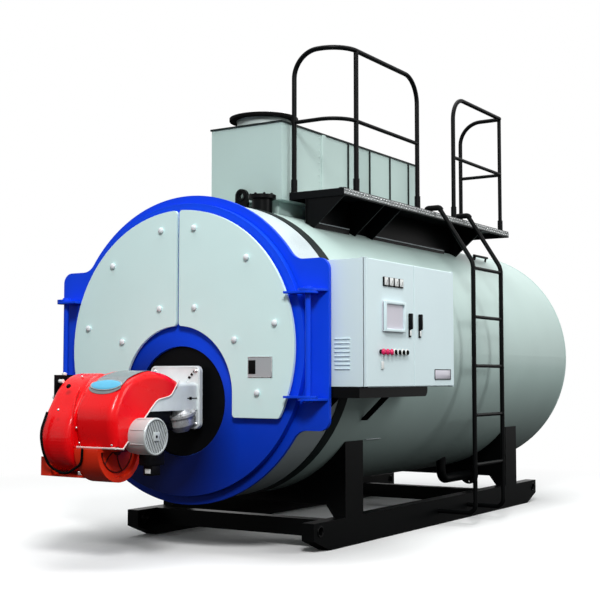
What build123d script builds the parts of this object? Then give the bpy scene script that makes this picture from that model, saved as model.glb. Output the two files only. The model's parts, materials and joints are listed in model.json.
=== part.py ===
from build123d import *
from math import sqrt
import os

os.makedirs("parts", exist_ok=True)

# Industrial fire-tube boiler on a skid, in millimetres.
# +Z is up, the burner end faces -Y and the control cabinet hangs on the +X side.
# The origin is the centre of the four anchor bolt holes, on the floor.

# Driving dimensions of the boiler body
shell_radius = 965
shell_clearance = 130
wall_thickness = 70
body_length = 4360
cut_overrun = 20
seat_gap = 0.3

# Skid beams and cross beams
skid_length = 3760
skid_setback = 330
beam_height = 187
beam_width = 92
beam_outer_half = 760
nose_height = 110
nose_length = 200
anchor_inset = 500
anchor_hole_radius = 12
haul_hole_radius = 26
haul_hole_inset = 75
cross_beam_width = 90
cross_beam_setback = 205
rear_cross_beam_start = 2640

# Saddles
saddle_start = 720
rear_saddle_start = 3410
saddle_width = 234
web_thickness = 16
web_foot_slant = 58
web_arch_rise = 77
post_step = 7

# Front plate with its two hinge ears
plate_thickness = 25
plate_rim = 22
mouth_step = 105
ear_margin = 99
ear_rise = 533
ear_drop = 500
ear_corner_radius = 70
ear_fillet_radius = 110

# Front section, band, cladding and rear end
front_section_length = 355
section_wall = 12
band_length = 100
band_lift = 5
rear_end_thickness = 28
rear_end_rounding = 14
rear_ring_lift = 3

# Tube plate and furnace
tube_plate_thickness = 22
furnace_radius = 350
furnace_wall = 14
furnace_drop = 332
furnace_back_gap = 420

# Front door and its lining
door_step = 57
door_thickness = 44
door_gap = 6
door_opening_radius = 348
lining_thickness = 66
lining_gap = 40
lining_opening_radius = 300

# Hinge rods and lugs
rod_gap = 41
rod_lead = 27
rod_radius = 17
rod_clearance = 0.5
rod_head_radius = 26
rod_head_height = 12
lug_thickness = 14
lug_radius = 62
lug_gap = 1
lug_top_rise = 330
lug_bottom_drop = 306
ear_lug_inner = 80
ear_lug_outer = 94
door_lug_reach = 136
latch_clearance = 7

# Insulated covers on the front door, with their studs and the name plate
cover_inset = 47
cover_thickness = 20
cover_standoff = 20
cover_gap = 20
cover_arch_radius = 430
cover_arch_drop = 286
cover_foot_drop = 428
cover_corner_radius = 22
standoff_radius = 9
stud_radius = 13
stud_height = 12
stud_shank_radius = 6
stud_fit = 0.2
stud_place_shares = (
    (0.15, 0.862),
    (0.61, 0.625),
    (0.159, 0.292),
    (0.847, 0.164),
    (0.511, 0.057),
    (0.703, -0.311),
)
name_plate_width = 180
name_plate_height = 128
name_plate_thickness = 3
name_plate_x = 638
name_plate_drop = 120

# Burner mount, flange and duct; heights count from the burner's axis
burner_lift = 26
closing_disc_thickness = 20
neck_radius = 150
blast_tube_radius = 120
blast_tube_length = 260
blast_tube_wall = 8
flange_forward = 110
flange_size = 392
flange_thickness = 30
flange_corner_radius = 36
duct_drop = 78
duct_height = 170
duct_length = 620
duct_rounding = 24

# Burner hood; its profile turns at the foot, nose, brow, crown, tip, notch, step and heel
hood_half_width = 182
hood_wall = 4
hood_foot_ahead = 869
hood_foot_drop = 276
hood_nose_ahead = 920
hood_nose_drop = 96
hood_brow_ahead = 800
hood_brow_rise = 99
hood_crown_ahead = 572
hood_crown_rise = 161
hood_tip_ahead = 298
hood_tip_rise = 107
hood_notch_ahead = 375
hood_notch_rise = 12
hood_step_ahead = 506
hood_step_drop = 10
hood_heel_ahead = 805
hood_heel_drop = 284

# Fan housing, scroll, air box and motor
drum_radius = 190
drum_start_x = -100
drum_width = 180
drum_ahead = 715
drum_drop = 296
drum_cap = 10
drum_rim = 20
drum_dish_depth = 24
drum_dish_radius = 162
throat_length = 200
scroll_radius = 262
scroll_width = 200
scroll_ahead = 660
scroll_drop = 123
scroll_rounding = 20
air_box_width = 290
air_box_height = 130
air_box_depth = 230
air_box_ahead = 880
air_box_drop = 476
motor_radius = 108
motor_length = 105
motor_ahead = 660
motor_drop = 217
motor_spigot_radius = 38
motor_clearance = 12
terminal_width = 70
terminal_depth = 90
terminal_height = 259

# Gas inlet and switch bracket
gas_inlet_x = 110
gas_inlet_radius = 55
gas_inlet_length = 130
gas_inlet_fall = 60
bracket_thickness = 12
bracket_ahead = 780
bracket_drop = 26
bracket_height = 160
bracket_depth = 150

# Control cabinet and its doors
cabinet_lap = 63
cabinet_depth = 280
cabinet_start = 66
cabinet_length = 1200
cabinet_drop = 237
cabinet_height = 760
cabinet_wall = 3
cabinet_split = 616
cabinet_door_thickness = 18
cabinet_door_gap = 5
cabinet_leaf_gap = 6
cabinet_edge_rounding = 3
pivot_radius = 4
pivot_fit = 0.2
pivot_gap = 0.5
tab_thickness = 6
tab_foot = 20

# Handles, meters, window, buttons and plate on the cabinet doors
handle_offset = 69
handle_rise = 380
handle_width = 34
handle_length = 150
handle_corner = 10
handle_depth = 24
meter_centre = 330
meter_rise = 634
meter_pitch = 66
meter_count = 4
meter_size = 56
meter_depth = 8
screen_rise = 424
screen_width = 270
screen_height = 190
screen_depth = 10
button_centre = 326
button_rise = 208
button_pitch = 52
button_count = 7
button_radius = 14
button_depth = 22
rating_plate_centre = 1022
rating_plate_rise = 74
rating_plate_width = 236
rating_plate_height = 64

# Shelf and struts under the cabinet
shelf_height = 66
shelf_length = 890
shelf_nose_radius = 40
shelf_lip = 7
shelf_step = 2
strut_front = 132
strut_rear = 770
strut_width = 50
strut_thickness = 12
strut_inset = 12
strut_foot_depth = 125
strut_fall = 225

# Economizer on top of the boiler
economizer_half_width = 297
economizer_lift = 63
economizer_height = 534
economizer_start = 660
economizer_length = 2024
joint_start = 517
joint_length = 55
joint_bulge = 12
joint_rounding = 11
strap_place_shares = (0.4402, 0.6033, 0.7663, 0.9239)
strap_width = 12
strap_lift = 10
lid_overhang = 8
lid_thickness = 12
base_inset = 60

# Flue outlet on the economizer
flue_ahead = 220
flue_neck_radius = 190
flue_neck_height = 61
flue_wall = 6
flue_flange_radius = 243
flue_flange_thickness = 20
flue_bolt_radius = 220
flue_bolt_count = 12
flue_bolt_hole_radius = 7

# Platform beside the economizer
deck_rise = 115
deck_gap = 15
deck_width = 433
deck_start = 735
deck_length = 2835
deck_fold = 50
deck_fold_thickness = 5
bracket_place_shares = (0.004, 0.20, 0.29, 0.80)
support_thickness = 10
bracket_foot_x = 500
web_gap = 125
web_end_share = 0.8
foot_bar_width = 44
foot_bar_rise = 16
foot_bar_start_shares = (0.012, 0.30)
foot_bar_end_shares = (0.18, 0.73)

# Railings on the platform
pipe_radius = 17
mid_rail_radius = 14
corner_post_radius = 16
rail_height = 978
rail_inset = 24
front_rail_run = 1130
rear_rail_offset = 1767
rear_rail_inset = 90
rail_bend_radius = 190
rail_corner_radius = 185
rail_elbow_radius = 40
sleeve_radius = 22
sleeve_height = 90

# Ladder
ladder_gap = 95
ladder_start = 2105
ladder_width = 525
ladder_foot_height = 100
ladder_bend_drop = 405
ladder_hook_gap = 40
ladder_hook_rise = 28
ladder_hook_reach = 70
ladder_foot_radius = 60
ladder_bend_radius = 140
ladder_hook_radius = 20
rung_spacing = 366
rung_count = 5
rung_radius = 13
first_rung_height = 454

# Handhole and lifting lugs on the shell's top
handhole_x = 205
handhole_lead = 100
handhole_radius = 95
handhole_neck_radius = 70
handhole_lift = 83
handhole_flange = 26
lifting_front_lead = 60
lifting_rear_lead = 56
lifting_thickness = 30
lifting_eye_lift = 103
lifting_eye_radius = 48
lifting_hole_radius = 20
lifting_pad_reach = 90
lifting_pad_height = 20

# Blow-down pipe
blow_down_x = 462
blow_down_start = 2770
blow_down_end = 3330
blow_down_height = 275
blow_pipe_radius = 38
blow_bend_radius = 80
blow_flange_radius = 80
blow_flange_thickness = 20
blow_bolt_radius = 60
blow_bolt_count = 8
blow_bolt_hole_radius = 7

# Stations along the boiler: the front plate's face is where every length starts
face_y = -(skid_length / 2 + skid_setback)
plate_back = face_y + plate_thickness
shell_start = plate_back + front_section_length
shell_end = face_y + body_length
beam_centre_x = beam_outer_half - beam_width / 2
beam_inner_half = beam_outer_half - beam_width
anchor_y = skid_length / 2 - anchor_inset

# Radii and heights that several pieces share
axis_height = beam_height + shell_clearance + shell_radius
inner_radius = shell_radius - wall_thickness
seat_radius = shell_radius + seat_gap
shell_top = axis_height + shell_radius
plate_radius = shell_radius + plate_rim
plate_mouth_radius = shell_radius - mouth_step
door_radius = plate_radius - door_step
lining_radius = plate_mouth_radius - lining_gap
cover_radius = door_radius - cover_inset
furnace_axis = axis_height - furnace_drop

# Front door faces and hinge rods
door_back = face_y - door_gap
door_front = door_back - door_thickness
cover_back = door_front - cover_standoff
cover_front = cover_back - cover_thickness
hinge_x = door_radius + rod_gap
hinge_y = door_front - rod_lead
ear_reach = hinge_x + ear_margin
lug_top = axis_height + lug_top_rise
lug_bottom = axis_height - lug_bottom_drop

# Burner heights
burner_axis = furnace_axis + burner_lift
duct_bottom = burner_axis - duct_drop
drum_axis = burner_axis - drum_drop
drum_top = drum_axis + drum_cap
scroll_axis = burner_axis - scroll_drop
motor_axis = burner_axis - motor_drop

# Cabinet faces and the places of its door pivots
cabinet_back_x = ear_reach - cabinet_lap
cabinet_face_x = cabinet_back_x + cabinet_depth
cabinet_front_x = cabinet_face_x - cabinet_door_thickness - cabinet_door_gap
cabinet_y = face_y + cabinet_start
cabinet_bottom = axis_height - cabinet_drop
cabinet_top = cabinet_bottom + cabinet_height
door_split_y = cabinet_y + cabinet_split
pivot_inset = cabinet_door_thickness / 2
pivot_x = cabinet_face_x - pivot_inset
left_pivot_y = cabinet_y + pivot_inset
right_pivot_y = cabinet_y + cabinet_length - pivot_inset
shelf_inner_x = cabinet_back_x - shelf_lip
shelf_outer_x = cabinet_front_x - shelf_step

# Economizer, platform and railing places
economizer_y = face_y + economizer_start
economizer_bottom = shell_top + economizer_lift
economizer_top = economizer_bottom + economizer_height
lid_top = economizer_top + lid_thickness
flue_y = economizer_y + flue_ahead
deck_height = shell_top + deck_rise
deck_inner_x = economizer_half_width + deck_gap
deck_outer_x = deck_inner_x + deck_width
deck_y = face_y + deck_start
rail_top = deck_height + rail_height
rail_mid = deck_height + rail_height / 2
rail_inner_x = deck_inner_x + rail_inset
rail_outer_x = deck_outer_x - rail_inset
rail_front_y = deck_y + rail_inset
rail_gap_y = deck_y + front_rail_run
rail_step_y = deck_y + rear_rail_offset
rail_rear_y = deck_y + deck_length - rear_rail_inset
ladder_x = shell_radius + ladder_gap
ladder_y = face_y + ladder_start


def front_plane(y):
    """Sketch plane at depth y that looks along +Y, with x to the right and z up."""
    return Plane(origin=(0, y, 0), x_dir=(1, 0, 0), z_dir=(0, -1, 0))


def side_plane(x):
    """Sketch plane at x whose sketch axes are y and z."""
    return Plane(origin=(x, 0, 0), x_dir=(0, 1, 0), z_dir=(1, 0, 0))


def save(part, name):
    part.label = name
    export_step(part, "parts/" + name + ".step")


# Skid: two beams with cut-away noses, anchor holes and a haul hole at each end
haul_y = skid_length / 2 - haul_hole_inset
haul_z = beam_height - nose_height / 2
with BuildPart() as skid_beams:
    for side in (-1, 1):
        with BuildSketch(side_plane(side * beam_centre_x - beam_width / 2)):
            with BuildLine():
                Polyline(
                    (-skid_length / 2, beam_height),
                    (-skid_length / 2, beam_height - nose_height),
                    (-skid_length / 2 + nose_length, 0),
                    (skid_length / 2 - nose_length, 0),
                    (skid_length / 2, beam_height - nose_height),
                    (skid_length / 2, beam_height),
                    close=True,
                )
            make_face()
            with Locations((-haul_y, haul_z), (haul_y, haul_z)):
                Circle(haul_hole_radius, mode=Mode.SUBTRACT)
        extrude(amount=beam_width)
    with BuildSketch(Plane.XY):
        with GridLocations(2 * beam_centre_x, 2 * anchor_y, 2, 2):
            Circle(anchor_hole_radius)
    extrude(amount=beam_height, mode=Mode.SUBTRACT)
save(skid_beams.part, "skid_beams")

# Cross beams between the skid beams
with BuildPart() as cross_beams:
    with BuildSketch(Plane.XY.offset(beam_height - nose_height)):
        for start in (cross_beam_setback, rear_cross_beam_start):
            with Locations((0, start - skid_length / 2 + cross_beam_width / 2)):
                Rectangle(2 * beam_inner_half, cross_beam_width)
    extrude(amount=nose_height)
save(cross_beams.part, "cross_beams")

# Saddles: a web plate cut to the shell and a post over each skid beam
post_top = axis_height - sqrt(shell_radius**2 - beam_outer_half**2) - post_step
web_arch_height = beam_height + web_arch_rise
web_foot_half = beam_inner_half
for start, name in ((saddle_start, "front_saddle"), (rear_saddle_start, "rear_saddle")):
    web_front = face_y + start
    with BuildPart() as saddle:
        with BuildSketch(front_plane(web_front + web_thickness)):
            with BuildLine():
                Polyline(
                    (-beam_outer_half, beam_height),
                    (-beam_outer_half, post_top),
                    (beam_outer_half, post_top),
                    (beam_outer_half, beam_height),
                    (web_foot_half, beam_height),
                    (web_foot_half - web_foot_slant, web_arch_height),
                    (web_foot_slant - web_foot_half, web_arch_height),
                    (-web_foot_half, beam_height),
                    close=True,
                )
            make_face()
        extrude(amount=web_thickness)
        with BuildSketch(front_plane(web_front + saddle_width)):
            with Locations((0, (beam_height + post_top) / 2)):
                with GridLocations(2 * beam_centre_x, 0, 2, 1):
                    Rectangle(beam_width, post_top - beam_height)
        extrude(amount=saddle_width)
        with BuildSketch(front_plane(web_front + saddle_width)):
            with Locations((0, axis_height)):
                Circle(seat_radius)
        extrude(amount=saddle_width, mode=Mode.SUBTRACT)
    save(saddle.part, name)

# Cladding of the boiler shell, a tube open at both ends
with BuildPart() as shell_cladding:
    with BuildSketch(front_plane(shell_end - rear_end_thickness)):
        with Locations((0, axis_height)):
            Circle(shell_radius)
            Circle(inner_radius, mode=Mode.SUBTRACT)
    extrude(amount=shell_end - rear_end_thickness - shell_start)
save(shell_cladding.part, "shell_cladding")

# Band over the joint between the front section and the cladding
with BuildPart() as front_band:
    with BuildSketch(front_plane(shell_start + band_length)):
        with Locations((0, axis_height)):
            Circle(seat_radius + band_lift)
            Circle(seat_radius, mode=Mode.SUBTRACT)
    extrude(amount=band_length)
save(front_band.part, "front_band")

# Front section, the smoke box ring behind the front plate
with BuildPart() as front_section:
    with BuildSketch(front_plane(shell_start)):
        with Locations((0, axis_height)):
            Circle(shell_radius)
            Circle(shell_radius - section_wall, mode=Mode.SUBTRACT)
    extrude(amount=front_section_length)
save(front_section.part, "front_section")

# Rear end plate with a rounded rim and a lip over its seam
with BuildPart() as rear_end:
    with BuildSketch(front_plane(shell_end)):
        with Locations((0, axis_height)):
            Circle(shell_radius)
    extrude(amount=rear_end_thickness)
    fillet(rear_end.edges().group_by(Axis.Y)[-1], radius=rear_end_rounding)
    with BuildSketch(front_plane(shell_end - rear_end_rounding)):
        with Locations((0, axis_height)):
            Circle(seat_radius + rear_ring_lift)
            Circle(shell_radius - rear_ring_lift, mode=Mode.SUBTRACT)
    extrude(amount=rear_end_thickness - rear_end_rounding)
save(rear_end.part, "rear_end")

# Front plate: a disc with an ear on each side for the hinge rods
with BuildPart() as front_plate:
    with BuildSketch(front_plane(plate_back)):
        with Locations((0, axis_height)):
            Circle(plate_radius)
        with Locations((0, axis_height + (ear_rise - ear_drop) / 2)):
            RectangleRounded(2 * ear_reach, ear_rise + ear_drop, ear_corner_radius)
    extrude(amount=plate_thickness)
    ear_joints = front_plate.edges().filter_by(Axis.Y)
    ear_joints = ear_joints.filter_by(lambda e: abs(e.center().X) < plate_radius)
    fillet(ear_joints, radius=ear_fillet_radius)
    with BuildSketch(front_plane(plate_back)):
        with Locations((0, axis_height)):
            Circle(plate_mouth_radius)
    extrude(amount=plate_thickness, mode=Mode.SUBTRACT)
save(front_plate.part, "front_plate")

# Tube plate across the smoke box and the furnace tube behind it
tube_plate_back = shell_start + tube_plate_thickness
with BuildPart() as tube_plate:
    with BuildSketch(front_plane(tube_plate_back)):
        with Locations((0, axis_height)):
            Circle(inner_radius - seat_gap)
        with Locations((0, furnace_axis)):
            Circle(furnace_radius - furnace_wall, mode=Mode.SUBTRACT)
    extrude(amount=tube_plate_thickness)
save(tube_plate.part, "tube_plate")

furnace_end = shell_end - furnace_back_gap
with BuildPart() as furnace_tube:
    with BuildSketch(front_plane(furnace_end)):
        with Locations((0, furnace_axis)):
            Circle(furnace_radius)
    extrude(amount=furnace_end - tube_plate_back)
    with BuildSketch(front_plane(furnace_end - furnace_wall)):
        with Locations((0, furnace_axis)):
            Circle(furnace_radius - furnace_wall)
    extrude(amount=furnace_end - furnace_wall - tube_plate_back, mode=Mode.SUBTRACT)
save(furnace_tube.part, "furnace_tube")

# Hinge rods with their heads
with BuildPart() as hinge_rods:
    with BuildSketch(Plane.XY.offset(lug_bottom - lug_thickness)):
        with Locations((-hinge_x, hinge_y), (hinge_x, hinge_y)):
            Circle(rod_radius)
    extrude(amount=lug_top - lug_bottom + 2 * lug_thickness)
    for head_z in (lug_bottom - lug_thickness - rod_head_height, lug_top + lug_thickness):
        with BuildSketch(Plane.XY.offset(head_z)):
            with Locations((-hinge_x, hinge_y), (hinge_x, hinge_y)):
                Circle(rod_head_radius)
        extrude(amount=rod_head_height)
save(hinge_rods.part, "hinge_rods")

# Lugs on the ears that hold the rods
with BuildPart() as ear_lugs:
    for side in (-1, 1):
        rod_x = side * hinge_x
        for lug_z in (lug_bottom - lug_thickness, lug_top):
            with BuildSketch(Plane.XY.offset(lug_z)):
                with BuildLine():
                    Polyline(
                        (rod_x - side * ear_lug_inner, face_y),
                        (rod_x + side * ear_lug_outer, face_y),
                        (rod_x + side * lug_radius, hinge_y),
                        (rod_x - side * lug_radius, hinge_y),
                        close=True,
                    )
                make_face()
                with Locations((rod_x, hinge_y)):
                    Circle(lug_radius)
                    Circle(rod_radius + rod_clearance, mode=Mode.SUBTRACT)
            extrude(amount=lug_thickness)
save(ear_lugs.part, "ear_lugs")

# Door lugs: drilled on the hinge side, open towards the plate on the latch side
slot_half = rod_radius + latch_clearance
with BuildPart() as door_lugs:
    for side in (-1, 1):
        rod_x = side * hinge_x
        for lug_z in (lug_bottom + lug_gap, lug_top - lug_gap - lug_thickness):
            with BuildSketch(Plane.XY.offset(lug_z)):
                with Locations((rod_x, hinge_y)):
                    Circle(lug_radius)
                with Locations((rod_x - side * door_lug_reach / 2, (hinge_y - lug_radius + door_front) / 2)):
                    Rectangle(door_lug_reach, door_front - hinge_y + lug_radius)
                if side < 0:
                    with Locations((rod_x, hinge_y)):
                        Circle(rod_radius + rod_clearance, mode=Mode.SUBTRACT)
                else:
                    with Locations((rod_x, hinge_y)):
                        Circle(slot_half, mode=Mode.SUBTRACT)
                    with Locations((rod_x, hinge_y + lug_radius / 2)):
                        Rectangle(2 * slot_half, lug_radius, mode=Mode.SUBTRACT)
            extrude(amount=lug_thickness)
save(door_lugs.part, "door_lugs")

# Front door disc with the burner opening
with BuildPart() as front_door:
    with BuildSketch(front_plane(door_back)):
        with Locations((0, axis_height)):
            Circle(door_radius)
        with Locations((0, furnace_axis)):
            Circle(door_opening_radius, mode=Mode.SUBTRACT)
    extrude(amount=door_thickness)
save(front_door.part, "front_door")

# Refractory lining on the back of the door
with BuildPart() as door_lining:
    with BuildSketch(front_plane(door_back + lining_thickness)):
        with Locations((0, axis_height)):
            Circle(lining_radius)
        with Locations((0, furnace_axis)):
            Circle(lining_opening_radius, mode=Mode.SUBTRACT)
    extrude(amount=lining_thickness)
save(door_lining.part, "door_lining")

# Insulated covers: half discs with an arch over the burner, drilled for their studs
stud_places = [(cover_radius * x, axis_height + cover_radius * z) for x, z in stud_place_shares]
arch_axis = axis_height - cover_arch_drop
cover_foot = axis_height - cover_foot_drop
for side, name in ((-1, "left"), (1, "right")):
    with BuildPart() as cover:
        with BuildSketch(front_plane(cover_back)):
            with Locations((0, axis_height)):
                Circle(cover_radius)
            with Locations((0, arch_axis)):
                Circle(cover_arch_radius, mode=Mode.SUBTRACT)
            with Locations((0, arch_axis - cover_radius / 2)):
                Rectangle(2 * cover_arch_radius, cover_radius, mode=Mode.SUBTRACT)
            with Locations((0, cover_foot - cover_radius / 2)):
                Rectangle(2 * cover_radius, cover_radius, mode=Mode.SUBTRACT)
            with Locations((-side * (cover_radius - cover_gap / 2), axis_height)):
                Rectangle(2 * cover_radius, 2 * cover_radius, mode=Mode.SUBTRACT)
        extrude(amount=cover_thickness)
        corners = cover.edges().filter_by(Axis.Y)
        corners = corners.filter_by(lambda e: abs(e.center().Z - arch_axis) > cover_corner_radius)
        fillet(corners, radius=cover_corner_radius)
        with BuildSketch(front_plane(cover_back)):
            for x, z in stud_places:
                with Locations((side * x, z)):
                    Circle(stud_shank_radius + stud_fit)
        extrude(amount=cover_thickness, mode=Mode.SUBTRACT)
    save(cover.part, "cover_" + name)

# Studs of the covers: stand-off, shank through the cover, and a round head
mirrored_places = stud_places + [(-x, z) for x, z in stud_places]
with BuildPart() as cover_studs:
    for stud_start, radius, length in (
        (door_front, standoff_radius, cover_standoff),
        (cover_back, stud_shank_radius, cover_thickness),
        (cover_front, stud_radius, stud_height),
    ):
        with BuildSketch(front_plane(stud_start)):
            with Locations(*mirrored_places):
                Circle(radius)
        extrude(amount=length)
save(cover_studs.part, "cover_studs")

# Blank name plate on the right cover
with BuildPart() as name_plate:
    with BuildSketch(front_plane(cover_front)):
        with Locations((name_plate_x, axis_height - name_plate_drop)):
            Rectangle(name_plate_width, name_plate_height)
    extrude(amount=name_plate_thickness)
save(name_plate.part, "name_plate")

# Burner mounting plate in the door opening, with its neck and blast tube
mount_back = door_back
mount_front = mount_back - closing_disc_thickness
flange_front = face_y - flange_forward
flange_back = flange_front + flange_thickness
with BuildPart() as burner_mount:
    with BuildSketch(front_plane(mount_back)):
        with Locations((0, furnace_axis)):
            Circle(door_opening_radius - seat_gap)
    extrude(amount=closing_disc_thickness)
    with BuildSketch(front_plane(mount_front)):
        with Locations((0, burner_axis)):
            Circle(neck_radius)
    extrude(amount=mount_front - flange_back)
save(burner_mount.part, "burner_mount")

with BuildPart() as blast_tube:
    with BuildSketch(front_plane(mount_back + blast_tube_length)):
        with Locations((0, burner_axis)):
            Circle(blast_tube_radius)
            Circle(blast_tube_radius - blast_tube_wall, mode=Mode.SUBTRACT)
    extrude(amount=blast_tube_length)
save(blast_tube.part, "blast_tube")

# Burner flange, a rounded square casting
with BuildPart() as burner_flange:
    with BuildSketch(front_plane(flange_back)):
        with Locations((0, burner_axis)):
            RectangleRounded(flange_size, flange_size, flange_corner_radius)
    extrude(amount=flange_thickness)
save(burner_flange.part, "burner_flange")

# Burner duct between the flange and the fan
duct_half_width = hood_half_width - hood_wall
with BuildPart() as burner_duct:
    with BuildSketch(Plane.XY.offset(duct_bottom)):
        with Locations((0, flange_front - duct_length / 2)):
            Rectangle(2 * duct_half_width, duct_length)
    extrude(amount=duct_height)
    fillet(burner_duct.edges().filter_by(Axis.Y).group_by(Axis.Z)[-1], radius=duct_rounding)
save(burner_duct.part, "burner_duct")

# Hood: the curved red housing over the fan, open below and behind
with BuildPart() as burner_hood:
    with BuildSketch(side_plane(-hood_half_width)):
        with BuildLine():
            front_arc = ThreePointArc(
                (face_y - hood_foot_ahead, burner_axis - hood_foot_drop),
                (face_y - hood_nose_ahead, burner_axis - hood_nose_drop),
                (face_y - hood_brow_ahead, burner_axis + hood_brow_rise),
            )
            top_arc = ThreePointArc(
                front_arc @ 1,
                (face_y - hood_crown_ahead, burner_axis + hood_crown_rise),
                (face_y - hood_tip_ahead, burner_axis + hood_tip_rise),
            )
            Polyline(
                top_arc @ 1,
                (face_y - hood_notch_ahead, burner_axis + hood_notch_rise),
                (face_y - hood_step_ahead, burner_axis - hood_step_drop),
                (face_y - hood_heel_ahead, burner_axis - hood_heel_drop),
                front_arc @ 0,
            )
        make_face()
    extrude(amount=2 * hood_half_width)
    with BuildSketch(side_plane(hood_wall - hood_half_width)):
        with BuildLine():
            inner_front = ThreePointArc(
                (face_y - hood_foot_ahead + hood_wall, burner_axis - hood_foot_drop - cut_overrun),
                (face_y - hood_nose_ahead + hood_wall, burner_axis - hood_nose_drop),
                (face_y - hood_brow_ahead + hood_wall, burner_axis + hood_brow_rise - hood_wall),
            )
            inner_top = ThreePointArc(
                inner_front @ 1,
                (face_y - hood_crown_ahead, burner_axis + hood_crown_rise - hood_wall),
                (face_y - hood_tip_ahead + hood_wall, burner_axis + hood_tip_rise - hood_wall),
            )
            Polyline(
                inner_top @ 1,
                (face_y - hood_tip_ahead + cut_overrun, burner_axis + hood_tip_rise - hood_wall),
                (face_y - hood_tip_ahead + cut_overrun, burner_axis - hood_foot_drop - cut_overrun),
                inner_front @ 0,
            )
        make_face()
    extrude(amount=2 * (hood_half_width - hood_wall), mode=Mode.SUBTRACT)
save(burner_hood.part, "burner_hood")

# Fan housing: a drum cut level under the hood, with a throat up to the duct
drum_y = face_y - drum_ahead
with BuildPart() as fan_housing:
    with BuildSketch(side_plane(drum_start_x)):
        with Locations((drum_y, drum_axis)):
            Circle(drum_radius)
        with Locations((drum_y, drum_top + drum_radius / 2)):
            Rectangle(2 * drum_radius, drum_radius, mode=Mode.SUBTRACT)
        with Locations((drum_y, (drum_axis + duct_bottom) / 2)):
            Rectangle(throat_length, duct_bottom - drum_axis)
    extrude(amount=drum_width)
    with BuildSketch(side_plane(drum_start_x + drum_width)):
        with Locations((drum_y, drum_axis)):
            Circle(drum_dish_radius)
        with Locations((drum_y, drum_top - drum_rim + drum_radius / 2)):
            Rectangle(2 * drum_radius, drum_radius, mode=Mode.SUBTRACT)
    extrude(amount=-drum_dish_depth, mode=Mode.SUBTRACT)
save(fan_housing.part, "fan_housing")

# Fan scroll beside the hood
scroll_y = face_y - scroll_ahead
with BuildPart() as fan_scroll:
    with BuildSketch(side_plane(-hood_half_width - scroll_width)):
        with Locations((scroll_y, scroll_axis)):
            Circle(scroll_radius)
    extrude(amount=scroll_width)
    fillet(fan_scroll.edges().filter_by(GeomType.CIRCLE), radius=scroll_rounding)
save(fan_scroll.part, "fan_scroll")

# Air inlet box under the scroll, hollowed to fit its round
air_box_y = face_y - air_box_ahead + air_box_depth / 2
with BuildPart() as air_box:
    with BuildSketch(side_plane(drum_start_x - air_box_width)):
        with Locations((air_box_y, burner_axis - air_box_drop + air_box_height / 2)):
            Rectangle(air_box_depth, air_box_height)
        with Locations((scroll_y, scroll_axis)):
            Circle(scroll_radius + seat_gap, mode=Mode.SUBTRACT)
    extrude(amount=air_box_width)
save(air_box.part, "air_box")

# Fan motor with its terminal box and the spigot that carries it on the fan housing
motor_y = face_y - motor_ahead
housing_side = drum_start_x + drum_width
motor_start = hood_half_width + motor_clearance
with BuildPart() as fan_motor:
    with BuildSketch(side_plane(housing_side)):
        with Locations((motor_y, motor_axis)):
            Circle(motor_spigot_radius)
    extrude(amount=motor_start - housing_side)
    with BuildSketch(side_plane(motor_start)):
        with Locations((motor_y, motor_axis)):
            Circle(motor_radius)
    extrude(amount=motor_length)
    with BuildSketch(side_plane(motor_start + (motor_length - terminal_width) / 2)):
        with Locations((motor_y, motor_axis - terminal_height / 2)):
            Rectangle(terminal_depth, terminal_height)
    extrude(amount=terminal_width)
save(fan_motor.part, "fan_motor")

# Gas inlet casting under the duct, against the flange
with BuildPart() as gas_inlet:
    with BuildSketch(front_plane(flange_front)):
        with Locations((gas_inlet_x, duct_bottom - gas_inlet_radius)):
            Circle(gas_inlet_radius)
    extrude(amount=gas_inlet_length)
    with BuildSketch(Plane.XY.offset(duct_bottom - gas_inlet_radius - gas_inlet_fall)):
        with Locations((gas_inlet_x, flange_front - gas_inlet_length + gas_inlet_radius)):
            Circle(gas_inlet_radius)
    extrude(amount=gas_inlet_fall)
save(gas_inlet.part, "gas_inlet")

# Switch bracket on the outer side of the scroll
with BuildPart() as switch_bracket:
    with BuildSketch(side_plane(-hood_half_width - scroll_width - bracket_thickness)):
        with Locations((face_y - bracket_ahead, burner_axis - bracket_drop + bracket_height / 2)):
            Rectangle(bracket_depth, bracket_height)
    extrude(amount=bracket_thickness)
save(switch_bracket.part, "switch_bracket")

# Control cabinet: a sheet box open towards its doors, with a drilled tab at each door pivot
with BuildPart() as cabinet_body:
    with BuildSketch(Plane.XY.offset(cabinet_bottom)):
        with Locations(((cabinet_back_x + cabinet_front_x) / 2, cabinet_y + cabinet_length / 2)):
            Rectangle(cabinet_front_x - cabinet_back_x, cabinet_length)
    extrude(amount=cabinet_height)
    offset(amount=-cabinet_wall, openings=cabinet_body.faces().sort_by(Axis.X)[-1])
    for tab_y, root_z, side in (
        (left_pivot_y, cabinet_top, 1),
        (right_pivot_y, cabinet_top, 1),
        (right_pivot_y, cabinet_bottom, -1),
    ):
        with BuildSketch(front_plane(tab_y + pivot_inset)):
            with BuildLine():
                Polyline(
                    (cabinet_front_x - tab_foot, root_z),
                    (cabinet_front_x, root_z),
                    (cabinet_front_x, root_z + side * pivot_gap),
                    (cabinet_face_x, root_z + side * pivot_gap),
                    (cabinet_face_x, root_z + side * tab_thickness),
                    (cabinet_front_x - tab_foot, root_z + side * tab_thickness),
                    close=True,
                )
            make_face()
        extrude(amount=2 * pivot_inset)
    with BuildSketch(Plane.XY.offset(cabinet_bottom - tab_thickness)):
        with Locations((pivot_x, left_pivot_y), (pivot_x, right_pivot_y)):
            Circle(pivot_radius + pivot_fit)
    extrude(amount=cabinet_height + 2 * tab_thickness, mode=Mode.SUBTRACT)
save(cabinet_body.part, "cabinet_body")

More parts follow.
